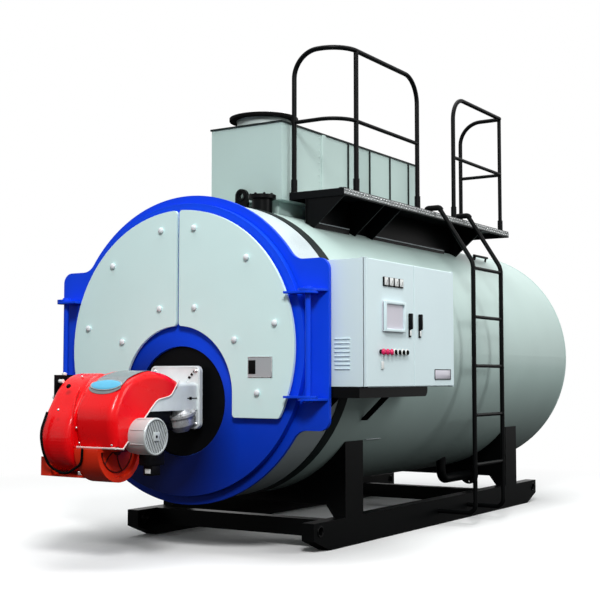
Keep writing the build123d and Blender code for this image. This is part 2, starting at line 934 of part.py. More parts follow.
# Cabinet doors with a pivot pin above and below; the left one is the wider
door_spans = (
    ("left", cabinet_y, door_split_y - cabinet_leaf_gap / 2, left_pivot_y),
    ("right", door_split_y + cabinet_leaf_gap / 2, cabinet_y + cabinet_length, right_pivot_y),
)
for name, leaf_start, leaf_end, pivot_y in door_spans:
    with BuildPart() as leaf:
        with BuildSketch(Plane.XY.offset(cabinet_bottom)):
            with Locations((cabinet_face_x - cabinet_door_thickness / 2, (leaf_start + leaf_end) / 2)):
                Rectangle(cabinet_door_thickness, leaf_end - leaf_start)
        extrude(amount=cabinet_height)
        fillet(leaf.faces().sort_by(Axis.X)[-1].edges(), radius=cabinet_edge_rounding)
        for pin_z in (cabinet_bottom - tab_thickness, cabinet_top):
            with BuildSketch(Plane.XY.offset(pin_z)):
                with Locations((pivot_x, pivot_y)):
                    Circle(pivot_radius)
            extrude(amount=tab_thickness)
    save(leaf.part, "cabinet_door_" + name)

# Swing handles beside the split
for side, name in ((-1, "left"), (1, "right")):
    with BuildPart() as handle:
        with BuildSketch(side_plane(cabinet_face_x)):
            with Locations((door_split_y + side * handle_offset, cabinet_bottom + handle_rise)):
                RectangleRounded(handle_width, handle_length, handle_corner)
        extrude(amount=handle_depth)
        fillet(handle.faces().sort_by(Axis.X)[-1].edges(), radius=handle_corner / 2)
    save(handle.part, "cabinet_handle_" + name)

# Meters, window and push buttons on the left door, blank plate on the right one
with BuildPart() as panel_meters:
    with BuildSketch(side_plane(cabinet_face_x)):
        with Locations((cabinet_y + meter_centre, cabinet_bottom + meter_rise)):
            with GridLocations(meter_pitch, 0, meter_count, 1):
                Rectangle(meter_size, meter_size)
    extrude(amount=meter_depth)
save(panel_meters.part, "panel_meters")

with BuildPart() as panel_screen:
    with BuildSketch(side_plane(cabinet_face_x)):
        with Locations((cabinet_y + meter_centre, cabinet_bottom + screen_rise)):
            RectangleRounded(screen_width, screen_height, handle_corner)
    extrude(amount=screen_depth)
save(panel_screen.part, "panel_screen")

with BuildPart() as panel_buttons:
    with BuildSketch(side_plane(cabinet_face_x)):
        with Locations((cabinet_y + button_centre, cabinet_bottom + button_rise)):
            with GridLocations(button_pitch, 0, button_count, 1):
                Circle(button_radius)
    extrude(amount=button_depth)
save(panel_buttons.part, "panel_buttons")

with BuildPart() as rating_plate:
    with BuildSketch(side_plane(cabinet_face_x)):
        with Locations((cabinet_y + rating_plate_centre, cabinet_bottom + rating_plate_rise)):
            Rectangle(rating_plate_width, rating_plate_height)
    extrude(amount=name_plate_thickness)
save(rating_plate.part, "rating_plate")

# Shelf under the cabinet, with the lower tab of the left door, and the struts from the shell
strut_top_x = shelf_inner_x + strut_inset
strut_foot_x = shell_radius - strut_foot_depth
shelf_bottom = cabinet_bottom - shelf_height
with BuildPart() as cabinet_shelf:
    with BuildSketch(Plane.XY.offset(shelf_bottom)):
        with Locations(((shelf_inner_x + shelf_outer_x) / 2, plate_back + shelf_length / 2)):
            Rectangle(shelf_outer_x - shelf_inner_x, shelf_length)
    extrude(amount=shelf_height)
    nose = cabinet_shelf.edges().filter_by(Axis.X).group_by(Axis.Y)[-1].sort_by(Axis.Z)[0]
    fillet(nose, radius=shelf_nose_radius)
    with BuildSketch(Plane.XY.offset(cabinet_bottom - tab_thickness)):
        with Locations(((shelf_outer_x + cabinet_face_x) / 2, left_pivot_y)):
            Rectangle(cabinet_face_x - shelf_outer_x, 2 * pivot_inset)
        with Locations((pivot_x, left_pivot_y)):
            Circle(pivot_radius + pivot_fit, mode=Mode.SUBTRACT)
    extrude(amount=tab_thickness - pivot_gap)
    for strut_y in (face_y + strut_front, face_y + strut_rear):
        with BuildSketch(front_plane(strut_y + strut_thickness)):
            with BuildLine():
                Polyline(
                    (strut_top_x, shelf_bottom),
                    (strut_top_x + strut_width, shelf_bottom),
                    (strut_foot_x + strut_width, cabinet_bottom - strut_fall),
                    (strut_foot_x, cabinet_bottom - strut_fall),
                    close=True,
                )
            make_face()
            with Locations((0, axis_height)):
                Circle(seat_radius, mode=Mode.SUBTRACT)
        extrude(amount=strut_thickness)
save(cabinet_shelf.part, "cabinet_shelf")

# Platform deck with its edges folded down
deck_mid_x = (deck_inner_x + deck_outer_x) / 2
with BuildPart() as platform_deck:
    with BuildSketch(Plane.XY.offset(deck_height - deck_fold)):
        with Locations((deck_mid_x, deck_y + deck_length / 2)):
            Rectangle(deck_outer_x - deck_inner_x, deck_length)
    extrude(amount=deck_fold)
    offset(amount=-deck_fold_thickness, openings=platform_deck.faces().sort_by(Axis.Z)[0])
save(platform_deck.part, "platform_deck")

# Web that carries the deck along the shell, with two foot bars that lie on the cladding
web_x = deck_inner_x + web_gap
web_side = web_x + support_thickness
web_front_y = deck_y + deck_fold_thickness
deck_underside = deck_height - deck_fold_thickness
with BuildPart() as platform_web:
    with BuildSketch(front_plane(deck_y + web_end_share * deck_length)):
        with Locations(((web_x + web_side) / 2, (axis_height + deck_underside) / 2)):
            Rectangle(support_thickness, deck_underside - axis_height)
        with Locations((0, axis_height)):
            Circle(seat_radius, mode=Mode.SUBTRACT)
    extrude(amount=deck_y + web_end_share * deck_length - web_front_y)
    bar_top = axis_height + sqrt(seat_radius**2 - web_side**2) + foot_bar_rise
    for start_share, end_share in zip(foot_bar_start_shares, foot_bar_end_shares):
        with BuildSketch(front_plane(deck_y + end_share * deck_length)):
            with Locations((web_side + foot_bar_width / 2, (axis_height + bar_top) / 2)):
                Rectangle(foot_bar_width, bar_top - axis_height)
            with Locations((0, axis_height)):
                Circle(seat_radius, mode=Mode.SUBTRACT)
        extrude(amount=(end_share - start_share) * deck_length)
save(platform_web.part, "platform_web")

# Brackets on the outer side of the web, from the shell to the outer edge of the deck
bracket_foot_z = axis_height + sqrt(seat_radius**2 - bracket_foot_x**2)
with BuildPart() as platform_brackets:
    for share in bracket_place_shares:
        with BuildSketch(front_plane(deck_y + share * deck_length + support_thickness)):
            with BuildLine():
                Polyline(
                    (web_side, deck_underside),
                    (deck_outer_x - deck_fold_thickness, deck_underside),
                    (deck_outer_x - deck_fold_thickness, deck_height - deck_fold),
                    (bracket_foot_x, bracket_foot_z),
                    (bracket_foot_x, axis_height),
                    (web_side, axis_height),
                    close=True,
                )
            make_face()
            with Locations((0, axis_height)):
                Circle(seat_radius, mode=Mode.SUBTRACT)
        extrude(amount=support_thickness)
save(platform_brackets.part, "platform_brackets")

# Front railing: a hoop round the corner of the deck, a mid rail and a corner post
with BuildPart() as front_railing:
    with BuildLine():
        hoop = FilletPolyline(
            (rail_inner_x, rail_front_y, deck_height),
            (rail_inner_x, rail_front_y, rail_top),
            (rail_outer_x, rail_front_y, rail_top),
            (rail_outer_x, rail_gap_y, rail_top),
            (rail_outer_x, rail_gap_y, deck_height),
            radius=[rail_corner_radius, rail_corner_radius, rail_bend_radius],
        )
    with BuildSketch(Plane(origin=hoop @ 0, z_dir=hoop % 0)):
        Circle(pipe_radius)
    sweep(path=hoop)
    with BuildLine():
        mid = FilletPolyline(
            (rail_inner_x, rail_front_y, rail_mid),
            (rail_outer_x, rail_front_y, rail_mid),
            (rail_outer_x, rail_gap_y, rail_mid),
            radius=rail_corner_radius,
        )
    with BuildSketch(Plane(origin=mid @ 0, z_dir=mid % 0)):
        Circle(mid_rail_radius)
    sweep(path=mid)
    post_y = rail_front_y + rail_corner_radius
    with BuildSketch(Plane.XY.offset(deck_height)):
        with Locations((rail_outer_x, post_y)):
            Circle(pipe_radius)
    extrude(amount=rail_height)
    with BuildSketch(Plane.XY.offset(deck_height)):
        with Locations(
            (rail_inner_x, rail_front_y),
            (rail_outer_x, post_y),
            (rail_outer_x, rail_gap_y),
        ):
            Circle(sleeve_radius)
    extrude(amount=sleeve_height)
save(front_railing.part, "front_railing")

# Rear railing: the same hoop round the rear corner, with its post in the corner
with BuildPart() as rear_railing:
    with BuildLine():
        rear_hoop = FilletPolyline(
            (rail_outer_x, rail_step_y, deck_height),
            (rail_outer_x, rail_step_y, rail_top),
            (rail_outer_x, rail_rear_y, rail_top),
            (rail_inner_x, rail_rear_y, rail_top),
            (rail_inner_x, rail_rear_y, deck_height),
            radius=[rail_bend_radius, rail_elbow_radius, rail_bend_radius],
        )
    with BuildSketch(Plane(origin=rear_hoop @ 0, z_dir=rear_hoop % 0)):
        Circle(pipe_radius)
    sweep(path=rear_hoop)
    with BuildLine():
        rear_mid = FilletPolyline(
            (rail_outer_x, rail_step_y, rail_mid),
            (rail_outer_x, rail_rear_y, rail_mid),
            (rail_inner_x, rail_rear_y, rail_mid),
            radius=rail_elbow_radius,
        )
    with BuildSketch(Plane(origin=rear_mid @ 0, z_dir=rear_mid % 0)):
        Circle(mid_rail_radius)
    sweep(path=rear_mid)
    corner_inset = rail_elbow_radius * (1 - sqrt(0.5))
    corner_place = (rail_outer_x - corner_inset, rail_rear_y - corner_inset)
    with BuildSketch(Plane.XY.offset(deck_height)):
        with Locations(corner_place):
            Circle(corner_post_radius)
    extrude(amount=rail_height)
    with BuildSketch(Plane.XY.offset(deck_height)):
        with Locations(
            (rail_outer_x, rail_step_y),
            corner_place,
            (rail_inner_x, rail_rear_y),
        ):
            Circle(sleeve_radius)
    extrude(amount=sleeve_height)
save(rear_railing.part, "rear_railing")

# Ladder: two bent rails hooked over the deck edge, and the rungs between them
with BuildPart() as ladder:
    for rail_y in (ladder_y, ladder_y + ladder_width):
        with BuildLine():
            side_rail = FilletPolyline(
                (beam_outer_half, rail_y, ladder_foot_height),
                (ladder_x, rail_y, ladder_foot_height),
                (ladder_x, rail_y, deck_height - ladder_bend_drop),
                (deck_outer_x + ladder_hook_gap, rail_y, deck_height + ladder_hook_rise),
                (deck_outer_x - ladder_hook_reach, rail_y, deck_height + ladder_hook_rise),
                (deck_outer_x - ladder_hook_reach, rail_y, deck_height),
                radius=[
                    ladder_foot_radius,
                    ladder_bend_radius,
                    ladder_hook_radius,
                    ladder_hook_radius,
                ],
            )
        with BuildSketch(Plane(origin=side_rail @ 0, z_dir=side_rail % 0)):
            Circle(pipe_radius)
        sweep(path=side_rail)
    for step in range(rung_count):
        with BuildSketch(front_plane(ladder_y + ladder_width)):
            with Locations((ladder_x, first_rung_height + step * rung_spacing)):
                Circle(rung_radius)
        extrude(amount=ladder_width)
save(ladder.part, "ladder")

# Economizer casing: a box with a rounded joint between its front and rear parts
with BuildPart() as economizer_casing:
    with BuildSketch(Plane.XY.offset(economizer_bottom)):
        with Locations((0, economizer_y + economizer_length / 2)):
            Rectangle(2 * economizer_half_width, economizer_length)
        with Locations((0, economizer_y + joint_start + joint_length / 2)):
            RectangleRounded(2 * (economizer_half_width + joint_bulge), joint_length, joint_rounding)
    extrude(amount=economizer_height)
save(economizer_casing.part, "economizer_casing")

with BuildPart() as economizer_straps:
    for share in strap_place_shares:
        with BuildSketch(front_plane(economizer_y + share * economizer_length + strap_width)):
            with Locations((0, economizer_bottom + economizer_height / 2)):
                Rectangle(2 * (economizer_half_width + strap_lift), economizer_height)
                Rectangle(2 * (economizer_half_width + seat_gap), economizer_height, mode=Mode.SUBTRACT)
        extrude(amount=strap_width)
save(economizer_straps.part, "economizer_straps")

with BuildPart() as economizer_lid:
    with BuildSketch(Plane.XY.offset(economizer_top)):
        with Locations((0, economizer_y + economizer_length / 2)):
            Rectangle(2 * (economizer_half_width + lid_overhang), economizer_length + 2 * lid_overhang)
    extrude(amount=lid_thickness)
save(economizer_lid.part, "economizer_lid")

# Base frame between the shell and the economizer
with BuildPart() as economizer_base:
    with BuildSketch(front_plane(economizer_y + economizer_length - base_inset)):
        with Locations((0, (economizer_bottom + axis_height) / 2)):
            Rectangle(2 * (economizer_half_width - base_inset), economizer_bottom - axis_height)
        with Locations((0, axis_height)):
            Circle(seat_radius, mode=Mode.SUBTRACT)
    extrude(amount=economizer_length - 2 * base_inset)
save(economizer_base.part, "economizer_base")

# Flue outlet on the lid
with BuildPart() as flue_outlet:
    with BuildSketch(Plane.XY.offset(lid_top)):
        with Locations((0, flue_y)):
            Circle(flue_neck_radius)
    extrude(amount=flue_neck_height)
    with BuildSketch(Plane.XY.offset(lid_top + flue_neck_height)):
        with Locations((0, flue_y)):
            Circle(flue_flange_radius)
            with PolarLocations(flue_bolt_radius, flue_bolt_count):
                Circle(flue_bolt_hole_radius, mode=Mode.SUBTRACT)
    extrude(amount=flue_flange_thickness)
    with BuildSketch(Plane.XY.offset(lid_top)):
        with Locations((0, flue_y)):
            Circle(flue_neck_radius - flue_wall)
    extrude(amount=flue_neck_height + flue_flange_thickness, mode=Mode.SUBTRACT)
save(flue_outlet.part, "flue_outlet")

# Round handhole on the shell in front of the economizer
handhole_y = economizer_y - handhole_lead
handhole_top = shell_top + handhole_lift
with BuildPart() as top_handhole:
    with BuildSketch(Plane.XY.offset(handhole_top - handhole_flange)):
        with Locations((handhole_x, handhole_y)):
            Circle(handhole_radius)
    extrude(amount=handhole_flange)
    with BuildSketch(Plane.XY.offset(axis_height)):
        with Locations((handhole_x, handhole_y)):
            Circle(handhole_neck_radius)
    extrude(amount=handhole_top - handhole_flange - axis_height)
    with BuildSketch(front_plane(handhole_y + handhole_radius)):
        with Locations((0, axis_height)):
            Circle(seat_radius)
    extrude(amount=2 * handhole_radius, mode=Mode.SUBTRACT)
save(top_handhole.part, "top_handhole")

# Lifting lugs, one at each end of the economizer
lifting_rear_y = economizer_y + economizer_length + lifting_rear_lead
lifting_eye_height = shell_top + lifting_eye_lift
with BuildPart() as lifting_lugs:
    for lug_y in (economizer_y - lifting_front_lead, lifting_rear_y):
        with BuildSketch(front_plane(lug_y + lifting_thickness)):
            with Locations((0, lifting_eye_height)):
                Circle(lifting_eye_radius)
            with Locations((0, (lifting_eye_height + axis_height) / 2)):
                Rectangle(2 * lifting_eye_radius, lifting_eye_height - axis_height)
            with Locations((0, shell_top)):
                Rectangle(2 * lifting_pad_reach, 2 * lifting_pad_height)
            with Locations((0, lifting_eye_height)):
                Circle(lifting_hole_radius, mode=Mode.SUBTRACT)
            with Locations((0, axis_height)):
                Circle(seat_radius, mode=Mode.SUBTRACT)
        extrude(amount=lifting_thickness)
save(lifting_lugs.part, "lifting_lugs")

# Blow-down pipe: out of the shell's underside, an elbow and a run back to its flange
blow_y = face_y + blow_down_start
blow_end = face_y + blow_down_end
with BuildPart() as blow_down_pipe:
    with BuildLine():
        blow_path = FilletPolyline(
            (blow_down_x, blow_y, axis_height - shell_radius / 2),
            (blow_down_x, blow_y, blow_down_height),
            (blow_down_x, blow_end - blow_flange_thickness, blow_down_height),
            radius=blow_bend_radius,
        )
    with BuildSketch(Plane(origin=blow_path @ 0, z_dir=blow_path % 0)):
        Circle(blow_pipe_radius)
    sweep(path=blow_path)
    with BuildSketch(front_plane(blow_y + 2 * blow_pipe_radius)):
        with Locations((0, axis_height)):
            Circle(seat_radius)
    extrude(amount=4 * blow_pipe_radius, mode=Mode.SUBTRACT)
    with BuildSketch(front_plane(blow_end)):
        with Locations((blow_down_x, blow_down_height)):
            Circle(blow_flange_radius)
            with PolarLocations(blow_bolt_radius, blow_bolt_count):
                Circle(blow_bolt_hole_radius, mode=Mode.SUBTRACT)
    extrude(amount=blow_flange_thickness)
save(blow_down_pipe.part, "blow_down_pipe")
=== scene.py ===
# %% [markdown]
# Industrial fire-tube boiler, dressed for a studio photograph.
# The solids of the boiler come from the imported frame, in metres, and stay where they are.
# This notebook gives them finishes and adds the small pieces that the solids leave out.

# %% Load the frame
import json
from functools import partial
from math import cos, pi, radians, sin, sqrt

import bmesh
import bpy
from mathutils import Euler, Matrix, Vector


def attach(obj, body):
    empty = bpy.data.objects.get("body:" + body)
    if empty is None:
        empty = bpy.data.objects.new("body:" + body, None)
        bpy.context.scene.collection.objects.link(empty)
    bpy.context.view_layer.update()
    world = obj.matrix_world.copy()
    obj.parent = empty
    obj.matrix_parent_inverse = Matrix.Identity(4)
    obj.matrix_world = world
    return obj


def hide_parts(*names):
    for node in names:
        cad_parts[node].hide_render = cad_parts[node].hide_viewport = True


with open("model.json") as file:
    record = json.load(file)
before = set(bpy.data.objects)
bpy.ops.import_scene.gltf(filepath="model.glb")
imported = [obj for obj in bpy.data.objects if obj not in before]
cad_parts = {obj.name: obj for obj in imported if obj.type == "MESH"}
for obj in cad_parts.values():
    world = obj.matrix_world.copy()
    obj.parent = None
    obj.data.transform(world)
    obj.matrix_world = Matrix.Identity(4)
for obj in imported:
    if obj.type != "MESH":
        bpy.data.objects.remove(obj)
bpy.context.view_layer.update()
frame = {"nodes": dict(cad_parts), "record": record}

NODES = frame["nodes"]
BOILER = "boiler"
DOOR = "front_door_body"
LEFT_LEAF = "cabinet_door_left_body"
RIGHT_LEAF = "cabinet_door_right_body"

# %% [markdown]
# Materials, Geometry Nodes and the world are all trees of nodes. Each node could be made, set and linked
# line by line. One short helper does the three at once, so a tree reads like a list of its parts.

# %% Node helpers
def add_node(tree, kind, inputs=(), **settings):
    """A node with its settings and its inputs: a socket is linked, a value is set."""
    node = tree.nodes.new(kind)
    for key, value in settings.items():
        setattr(node, key, value)
    for key, value in dict(inputs).items():
        if isinstance(value, bpy.types.NodeSocket):
            tree.links.new(value, node.inputs[key])
        else:
            node.inputs[key].default_value = value
    return node


def blend(tree, amount, first, second):
    """Mixes two colours, each given as a socket or as (red, green, blue)."""
    first, second = [(*c, 1.0) if isinstance(c, tuple) else c for c in (first, second)]
    return add_node(tree, "ShaderNodeMix", {0: amount, 6: first, 7: second}, data_type="RGBA").outputs[2]


def math_node(tree, kind, first, second=0.0):
    """One step of arithmetic."""
    return add_node(tree, "ShaderNodeMath", {0: first, 1: second}, operation=kind).outputs[0]


print("node helpers ready")

# %% [markdown]
# A finish could be a picture wrapped round each piece. Noise in Object coordinates needs no picture and
# shows no seam, so each finish starts from one paint colour and lets noise move its colour and gloss a
# little, as on real sheet. A Bevel node softens the knife edges of the solids, and where it bends the
# normal the paint is lightened, partly as wear and partly as a painted highlight. Painted shade darkens
# what is low down, and a painted shadow what is near one point.

# %% Finish helper
FINISHES = {}
SHADE_TOP = 1.1


def finish(name, colour, rough, metal=0.0, drift=0.08, drift_scale=2.5, grain=0.04, grain_scale=60.0,
           edge=0.004, edge_wear_and_sheen=None, coat=0.0, gloss=0.3, speckle=0.0,
           low_shade=0.0, grime_colour=(0.02, 0.028, 0.026), burner_shadow=None):
    """Makes a painted or bare metal finish and keeps it in FINISHES."""
    mat = bpy.data.materials.new(name)
    mat.use_nodes = True
    tree = mat.node_tree
    shader = tree.nodes["Principled BSDF"].inputs
    for socket, value in (("Metallic", metal), ("Roughness", rough), ("Coat Weight", coat),
                          ("Coat Roughness", 0.12), ("Specular IOR Level", gloss)):
        shader[socket].default_value = value
    place = add_node(tree, "ShaderNodeTexCoord").outputs["Object"]

    def noise(scale, detail):
        return add_node(tree, "ShaderNodeTexNoise", {"Vector": place, "Scale": scale, "Detail": detail}).outputs[0]

    def spread(value, low, high, start, stop):
        return add_node(tree, "ShaderNodeMapRange", {"Value": value, "From Min": low, "From Max": high,
                                                     "To Min": start, "To Max": stop}).outputs["Result"]

    def shade(share):
        return tuple(min(1.0, c * share) for c in colour)

    tint = blend(tree, noise(drift_scale, 4.0), shade(1 - drift), shade(1 + drift))
    if speckle:
        tint = blend(tree, spread(noise(900.0, 1.0), 0.45, 0.6, 0.0, speckle), tint, shade(1.35))
    # Painted shade: the colour darkens towards the bottom, fully at z = 0 and not at all from the top height up.
    if low_shade:
        height = add_node(tree, "ShaderNodeSeparateXYZ", {0: place}).outputs["Z"]
        tint = blend(tree, spread(height, 0.0, SHADE_TOP, low_shade, 0.0), tint, grime_colour)
    # Painted shadow: the colour darkens round one point, fully within near and not at all beyond far.
    if burner_shadow:
        centre, near, far, share = burner_shadow
        off = add_node(tree, "ShaderNodeVectorMath", {0: place, 1: centre}, operation="DISTANCE")
        tint = blend(tree, spread(off.outputs["Value"], near, far, share, 0.0), tint, grime_colour)
    normal = None
    if edge:
        normal = add_node(tree, "ShaderNodeBevel", {"Radius": edge}, samples=4).outputs["Normal"]
        # Edges where the bevel bends the normal are lightened, partly as wear and partly as a painted highlight.
        if edge_wear_and_sheen:
            flat = add_node(tree, "ShaderNodeNewGeometry").outputs["Normal"]
            bend = add_node(tree, "ShaderNodeVectorMath", {0: normal, 1: flat}, operation="DOT_PRODUCT")
            tint = blend(tree, spread(bend.outputs["Value"], 0.82, 0.995, 0.55, 0.0), tint, edge_wear_and_sheen)
    tree.links.new(tint, shader["Base Color"])
    if grain:
        shine = spread(noise(drift_scale * 3, 3.0), 0.3, 0.7, max(0.03, rough - 0.05), min(1.0, rough + 0.07))
        tree.links.new(shine, shader["Roughness"])
        bump = add_node(tree, "ShaderNodeBump", {"Strength": grain, "Distance": 0.002,
                                                 "Height": noise(grain_scale, 5.0)})
        if normal:
            tree.links.new(normal, bump.inputs["Normal"])
        tree.links.new(bump.outputs["Normal"], shader["Normal"])
    FINISHES[name] = mat


print("finish helper ready")

# %% [markdown]
# The large sheets, named as the boiler's record names them. The shell is pale satin sheet, and it gets no
# grain, because noise in the gloss breaks into dashes along its long facets. The front section is silver
# sheet with a fine speckle, the steelwork black enamel, and the door a deep blue with a painted shadow at
# the burner. The blue and both claddings get painted shade low down.

# %% Finishes of the large sheets
# The blue darkens towards the bottom as painted shade, and its edges are lightened partly as wear and partly as a
# painted highlight.
BLUE = {"colour": (0.004, 0.062, 0.80), "rough": 0.38, "gloss": 0.12, "edge_wear_and_sheen": (0.02, 0.14, 0.9),
        "low_shade": 0.95, "grime_colour": (0.002, 0.004, 0.03)}
# The door also darkens round a point under the burner: a painted shadow.
UNDER_BURNER = (-0.20, -2.15, 0.72)
finish("blue_paint", **BLUE)
finish("door_blue", **BLUE, burner_shadow=(UNDER_BURNER, 0.38, 0.68, 0.88))
finish("black_paint", (0.0017, 0.002, 0.0022), 0.36, gloss=0.07, edge=0, grain=0.0)
# Both claddings darken towards the bottom: painted shade low down.
finish("pale_cladding", (0.44, 0.565, 0.535), 0.34, drift=0.06, edge=0, grain=0.0, low_shade=0.85)
finish("silver_cladding", (0.48, 0.55, 0.57), 0.38, metal=0.3, edge=0, speckle=0.7, drift=0.12, low_shade=0.85)
finish("dark_band", (0.010, 0.015, 0.015), 0.42, gloss=0.1, edge=0, grain=0.1)
finish("cover_white", (0.72, 0.94, 0.93), 0.42, drift=0.04)
# Its edges are lightened, partly as wear and partly as a painted highlight.
finish("cabinet_white", (0.70, 0.84, 0.87), 0.34, drift=0.025, edge_wear_and_sheen=(0.78, 0.88, 0.9))
finish("flue_paint", (0.5, 0.58, 0.56), 0.36)
finish("refractory", (0.5, 0.45, 0.38), 0.9, drift=0.2, drift_scale=9.0, grain=0.5, grain_scale=140.0)
finish("boiler_steel", (0.07, 0.065, 0.06), 0.7, drift=0.3, grain=0.3)
finish("checker_deck", (0.003, 0.0035, 0.004), 0.45, gloss=0.06, grain=0.12)
finish("burner_red", (0.86, 0.003, 0.006), 0.26, drift=0.05, gloss=0.2, coat=0.12)
finish("orange_paint", (0.74, 0.028, 0.006), 0.34, drift=0.1, gloss=0.2, coat=0.1)
print("large finishes:", len(FINISHES))

# %% [markdown]
# The small pieces need less: castings drift more than sheet, bare steel is metallic, and the blacks differ
# only in gloss, which is what tells rubber, plastic and enamel apart.

# %% Finishes of the small pieces
finish("knob_white", (0.82, 0.87, 0.9), 0.25, drift=0.03)
finish("plate_grey", (0.42, 0.46, 0.48), 0.35, metal=0.3)
finish("cast_black", (0.003, 0.0033, 0.004), 0.5, gloss=0.05, grain=0.15)
finish("cream_casting", (0.78, 0.83, 0.84), 0.4, metal=0.15, drift=0.14, drift_scale=12.0, grain=0.15)
finish("motor_grey", (0.54, 0.58, 0.58), 0.38, metal=0.15)
finish("handle_black", (0.004, 0.004, 0.005), 0.3, gloss=0.07)
finish("panel_dark", (0.006, 0.006, 0.008), 0.3, gloss=0.07)
finish("panel_pale", (0.62, 0.60, 0.67), 0.18, drift=0.05)
finish("tread_steel", (0.16, 0.17, 0.17), 0.45, metal=0.4, edge=0, drift=0.3, drift_scale=20.0)
finish("bright_steel", (0.62, 0.63, 0.63), 0.25, metal=0.9, drift=0.1)
finish("white_trim", (0.78, 0.72, 0.7), 0.4)
finish("rubber_black", (0.003, 0.003, 0.003), 0.6, gloss=0.05)
finish("badge_blue", (0.1, 0.45, 0.68), 0.2, drift=0.1, drift_scale=40.0)
finish("button_red", (0.7, 0.02, 0.12), 0.25)
finish("meter_face", (0.82, 0.84, 0.83), 0.3)
finish("smoked_window", (0.2, 0.23, 0.24), 0.1, drift=0.15, drift_scale=30.0)
finish("shadow_black", (0.003, 0.003, 0.0035), 0.7, gloss=0.04)
finish("spoke_brown", (0.10, 0.008, 0.006), 0.5, gloss=0.2)
finish("valve_silver", (0.6, 0.61, 0.62), 0.3, metal=0.5, drift=0.5, drift_scale=25.0)

slot_of = {row["node"]: row["material_slot"] for row in frame["record"]["subparts"]}
slot_of["front_door"] = "door_blue"
for node_name, node in NODES.items():
    node.data.materials.clear()
    node.data.materials.append(FINISHES[slot_of[node_name]])
print("finishes:", len(FINISHES))

# %% [markdown]
# Small forms are built in bmesh. They could be Blender's primitives moved into place, but forms written
# straight in the boiler's own coordinates leave every object at the origin, where the finishes expect it.
# Most forms are rings of points with a skin between them, so one helper closes them all.

# %% Boxes and skinned forms
def add_box(kit, low, high, bevel=0.0):
    """A box between two corners, with its edges rounded by bevel."""
    made = bmesh.ops.create_cube(kit, size=1.0)["verts"]
    low, high = Vector(low), Vector(high)
    for v in made:
        v.co = Vector([(low[i] + high[i]) / 2 + v.co[i] * (high[i] - low[i]) for i in range(3)])
    if bevel:
        edges = list({e for v in made for e in v.link_edges})
        bmesh.ops.bevel(kit, geom=edges, offset=bevel, segments=3, profile=0.5, affect="EDGES")


def close_form(kit, rings, loop=False):
    """Skins a row of rings and caps its ends, or joins them in a loop. A ring of one vertex is a pole."""
    faces = [] if loop else [kit.faces.new(ring) for ring in (rings[0], rings[-1]) if len(ring) > 1]
    for low, high in zip(rings, rings[1:] + rings[:1] if loop else rings[1:]):
        for k in range(max(len(low), len(high))):
            n = k + 1
            corners = (low[k % len(low)], low[n % len(low)], high[n % len(high)], high[k % len(high)])
            faces.append(kit.faces.new(list(dict.fromkeys(corners))))
    bmesh.ops.recalc_face_normals(kit, faces=faces)
    return faces


def add_prism(kit, outline, place, depth, bevel=0.0):
    """A flat outline of (u, v) rows, put into space by place(u, v, w) and given a depth."""
    ends = [[kit.verts.new(place(u, v, w)) for u, v in outline] for w in (0.0, depth)]
    faces = close_form(kit, ends)
    if bevel:
        edges = list(set(faces[1].edges) | set(faces[0].edges))
        bmesh.ops.bevel(kit, geom=edges, offset=bevel, segments=3, profile=0.5, affect="EDGES")


print("boxes and prisms ready")

# %% [markdown]
# Turned forms and bars need two directions square to an axis. A bar carries its pair along the path and
# straightens it at each point, which keeps the skin from twisting. A Curve object with a round bevel
# could make the bars too, but it would have to be turned into a mesh before it rides on a body.

# %% Turned forms and bars
def frame_of(axis):
    """Two unit vectors square to an axis."""
    axis = Vector(axis).normalized()
    side = Vector((0, 0, 1)) if abs(axis.z) < 0.9 else Vector((1, 0, 0))
    first = side.cross(axis).normalized()
    return first, axis.cross(first)


def spin(pair, turn, radius):
    """The step from a centre to a point on a circle in the plane of two vectors."""
    return (Vector(pair[0]) * cos(turn) + Vector(pair[1]) * sin(turn)) * radius


def add_turned(kit, profile, centre, axis, steps=32):
    """A turned form from rows of (radius, height). It is closed at both ends, or joined in a loop."""
    axis, centre = Vector(axis).normalized(), Vector(centre)
    pair = frame_of(axis)
    loop = profile[0] == profile[-1]
    rings = []
    for radius, height in profile[:-1] if loop else profile:
        count = steps if radius else 1
        rings.append([kit.verts.new(centre + axis * height + spin(pair, 2 * pi * k / count, radius))
                      for k in range(count)])
    close_form(kit, rings, loop)


def rounded(points, radius, steps=6):
    """A path with its corners rounded, as a list of points."""
    points = [Vector(p) for p in points]
    path = [points[0]]
    for before, corner, after in zip(points, points[1:], points[2:]):
        start, stop = (before - corner).normalized(), (after - corner).normalized()
        reach = min(radius, (before - corner).length * 0.49, (after - corner).length * 0.49)
        for k in range(steps + 1):
            t = k / steps
            path.append((corner + start * reach) * (1 - t) ** 2 + corner * 2 * t * (1 - t)
                        + (corner + stop * reach) * t ** 2)
    return path + [points[-1]]


def circle(centre, pair, radius, steps=32):
    """A closed round path in the plane of two vectors."""
    return [Vector(centre) + spin(pair, 2 * pi * (k % steps) / steps, radius) for k in range(steps + 1)]


def add_tube(kit, path, radius, sides=12):
    """A round bar along a path of points, closed at both ends, or joined where the path meets itself."""
    path = [Vector(p) for p in path]
    loop = (path[0] - path[-1]).length < 1e-6
    if loop:
        path.pop()
    last = len(path) - 1
    across = None
    rings = []
    for k, point in enumerate(path):
        after, before = ((k + 1) % len(path), k - 1) if loop else (min(k + 1, last), max(k - 1, 0))
        ahead = (path[after] - path[before]).normalized()
        if across is None:
            across = frame_of(ahead)[0]
        across = (across - ahead * across.dot(ahead)).normalized()
        pair = (across, ahead.cross(across))
        rings.append([kit.verts.new(point + spin(pair, 2 * pi * s / sides, radius)) for s in range(sides)])
    close_form(kit, rings, loop)


print("turned forms and bars ready")

# %% [markdown]
# A kit collects several forms, and piece() turns it into one object that rides on a body. Faces are
# smooth, and edges sharper than a set angle stay crisp, as the rim of a turned part does.

# %% From kit to piece
SMOOTH_ANGLE = radians(34)


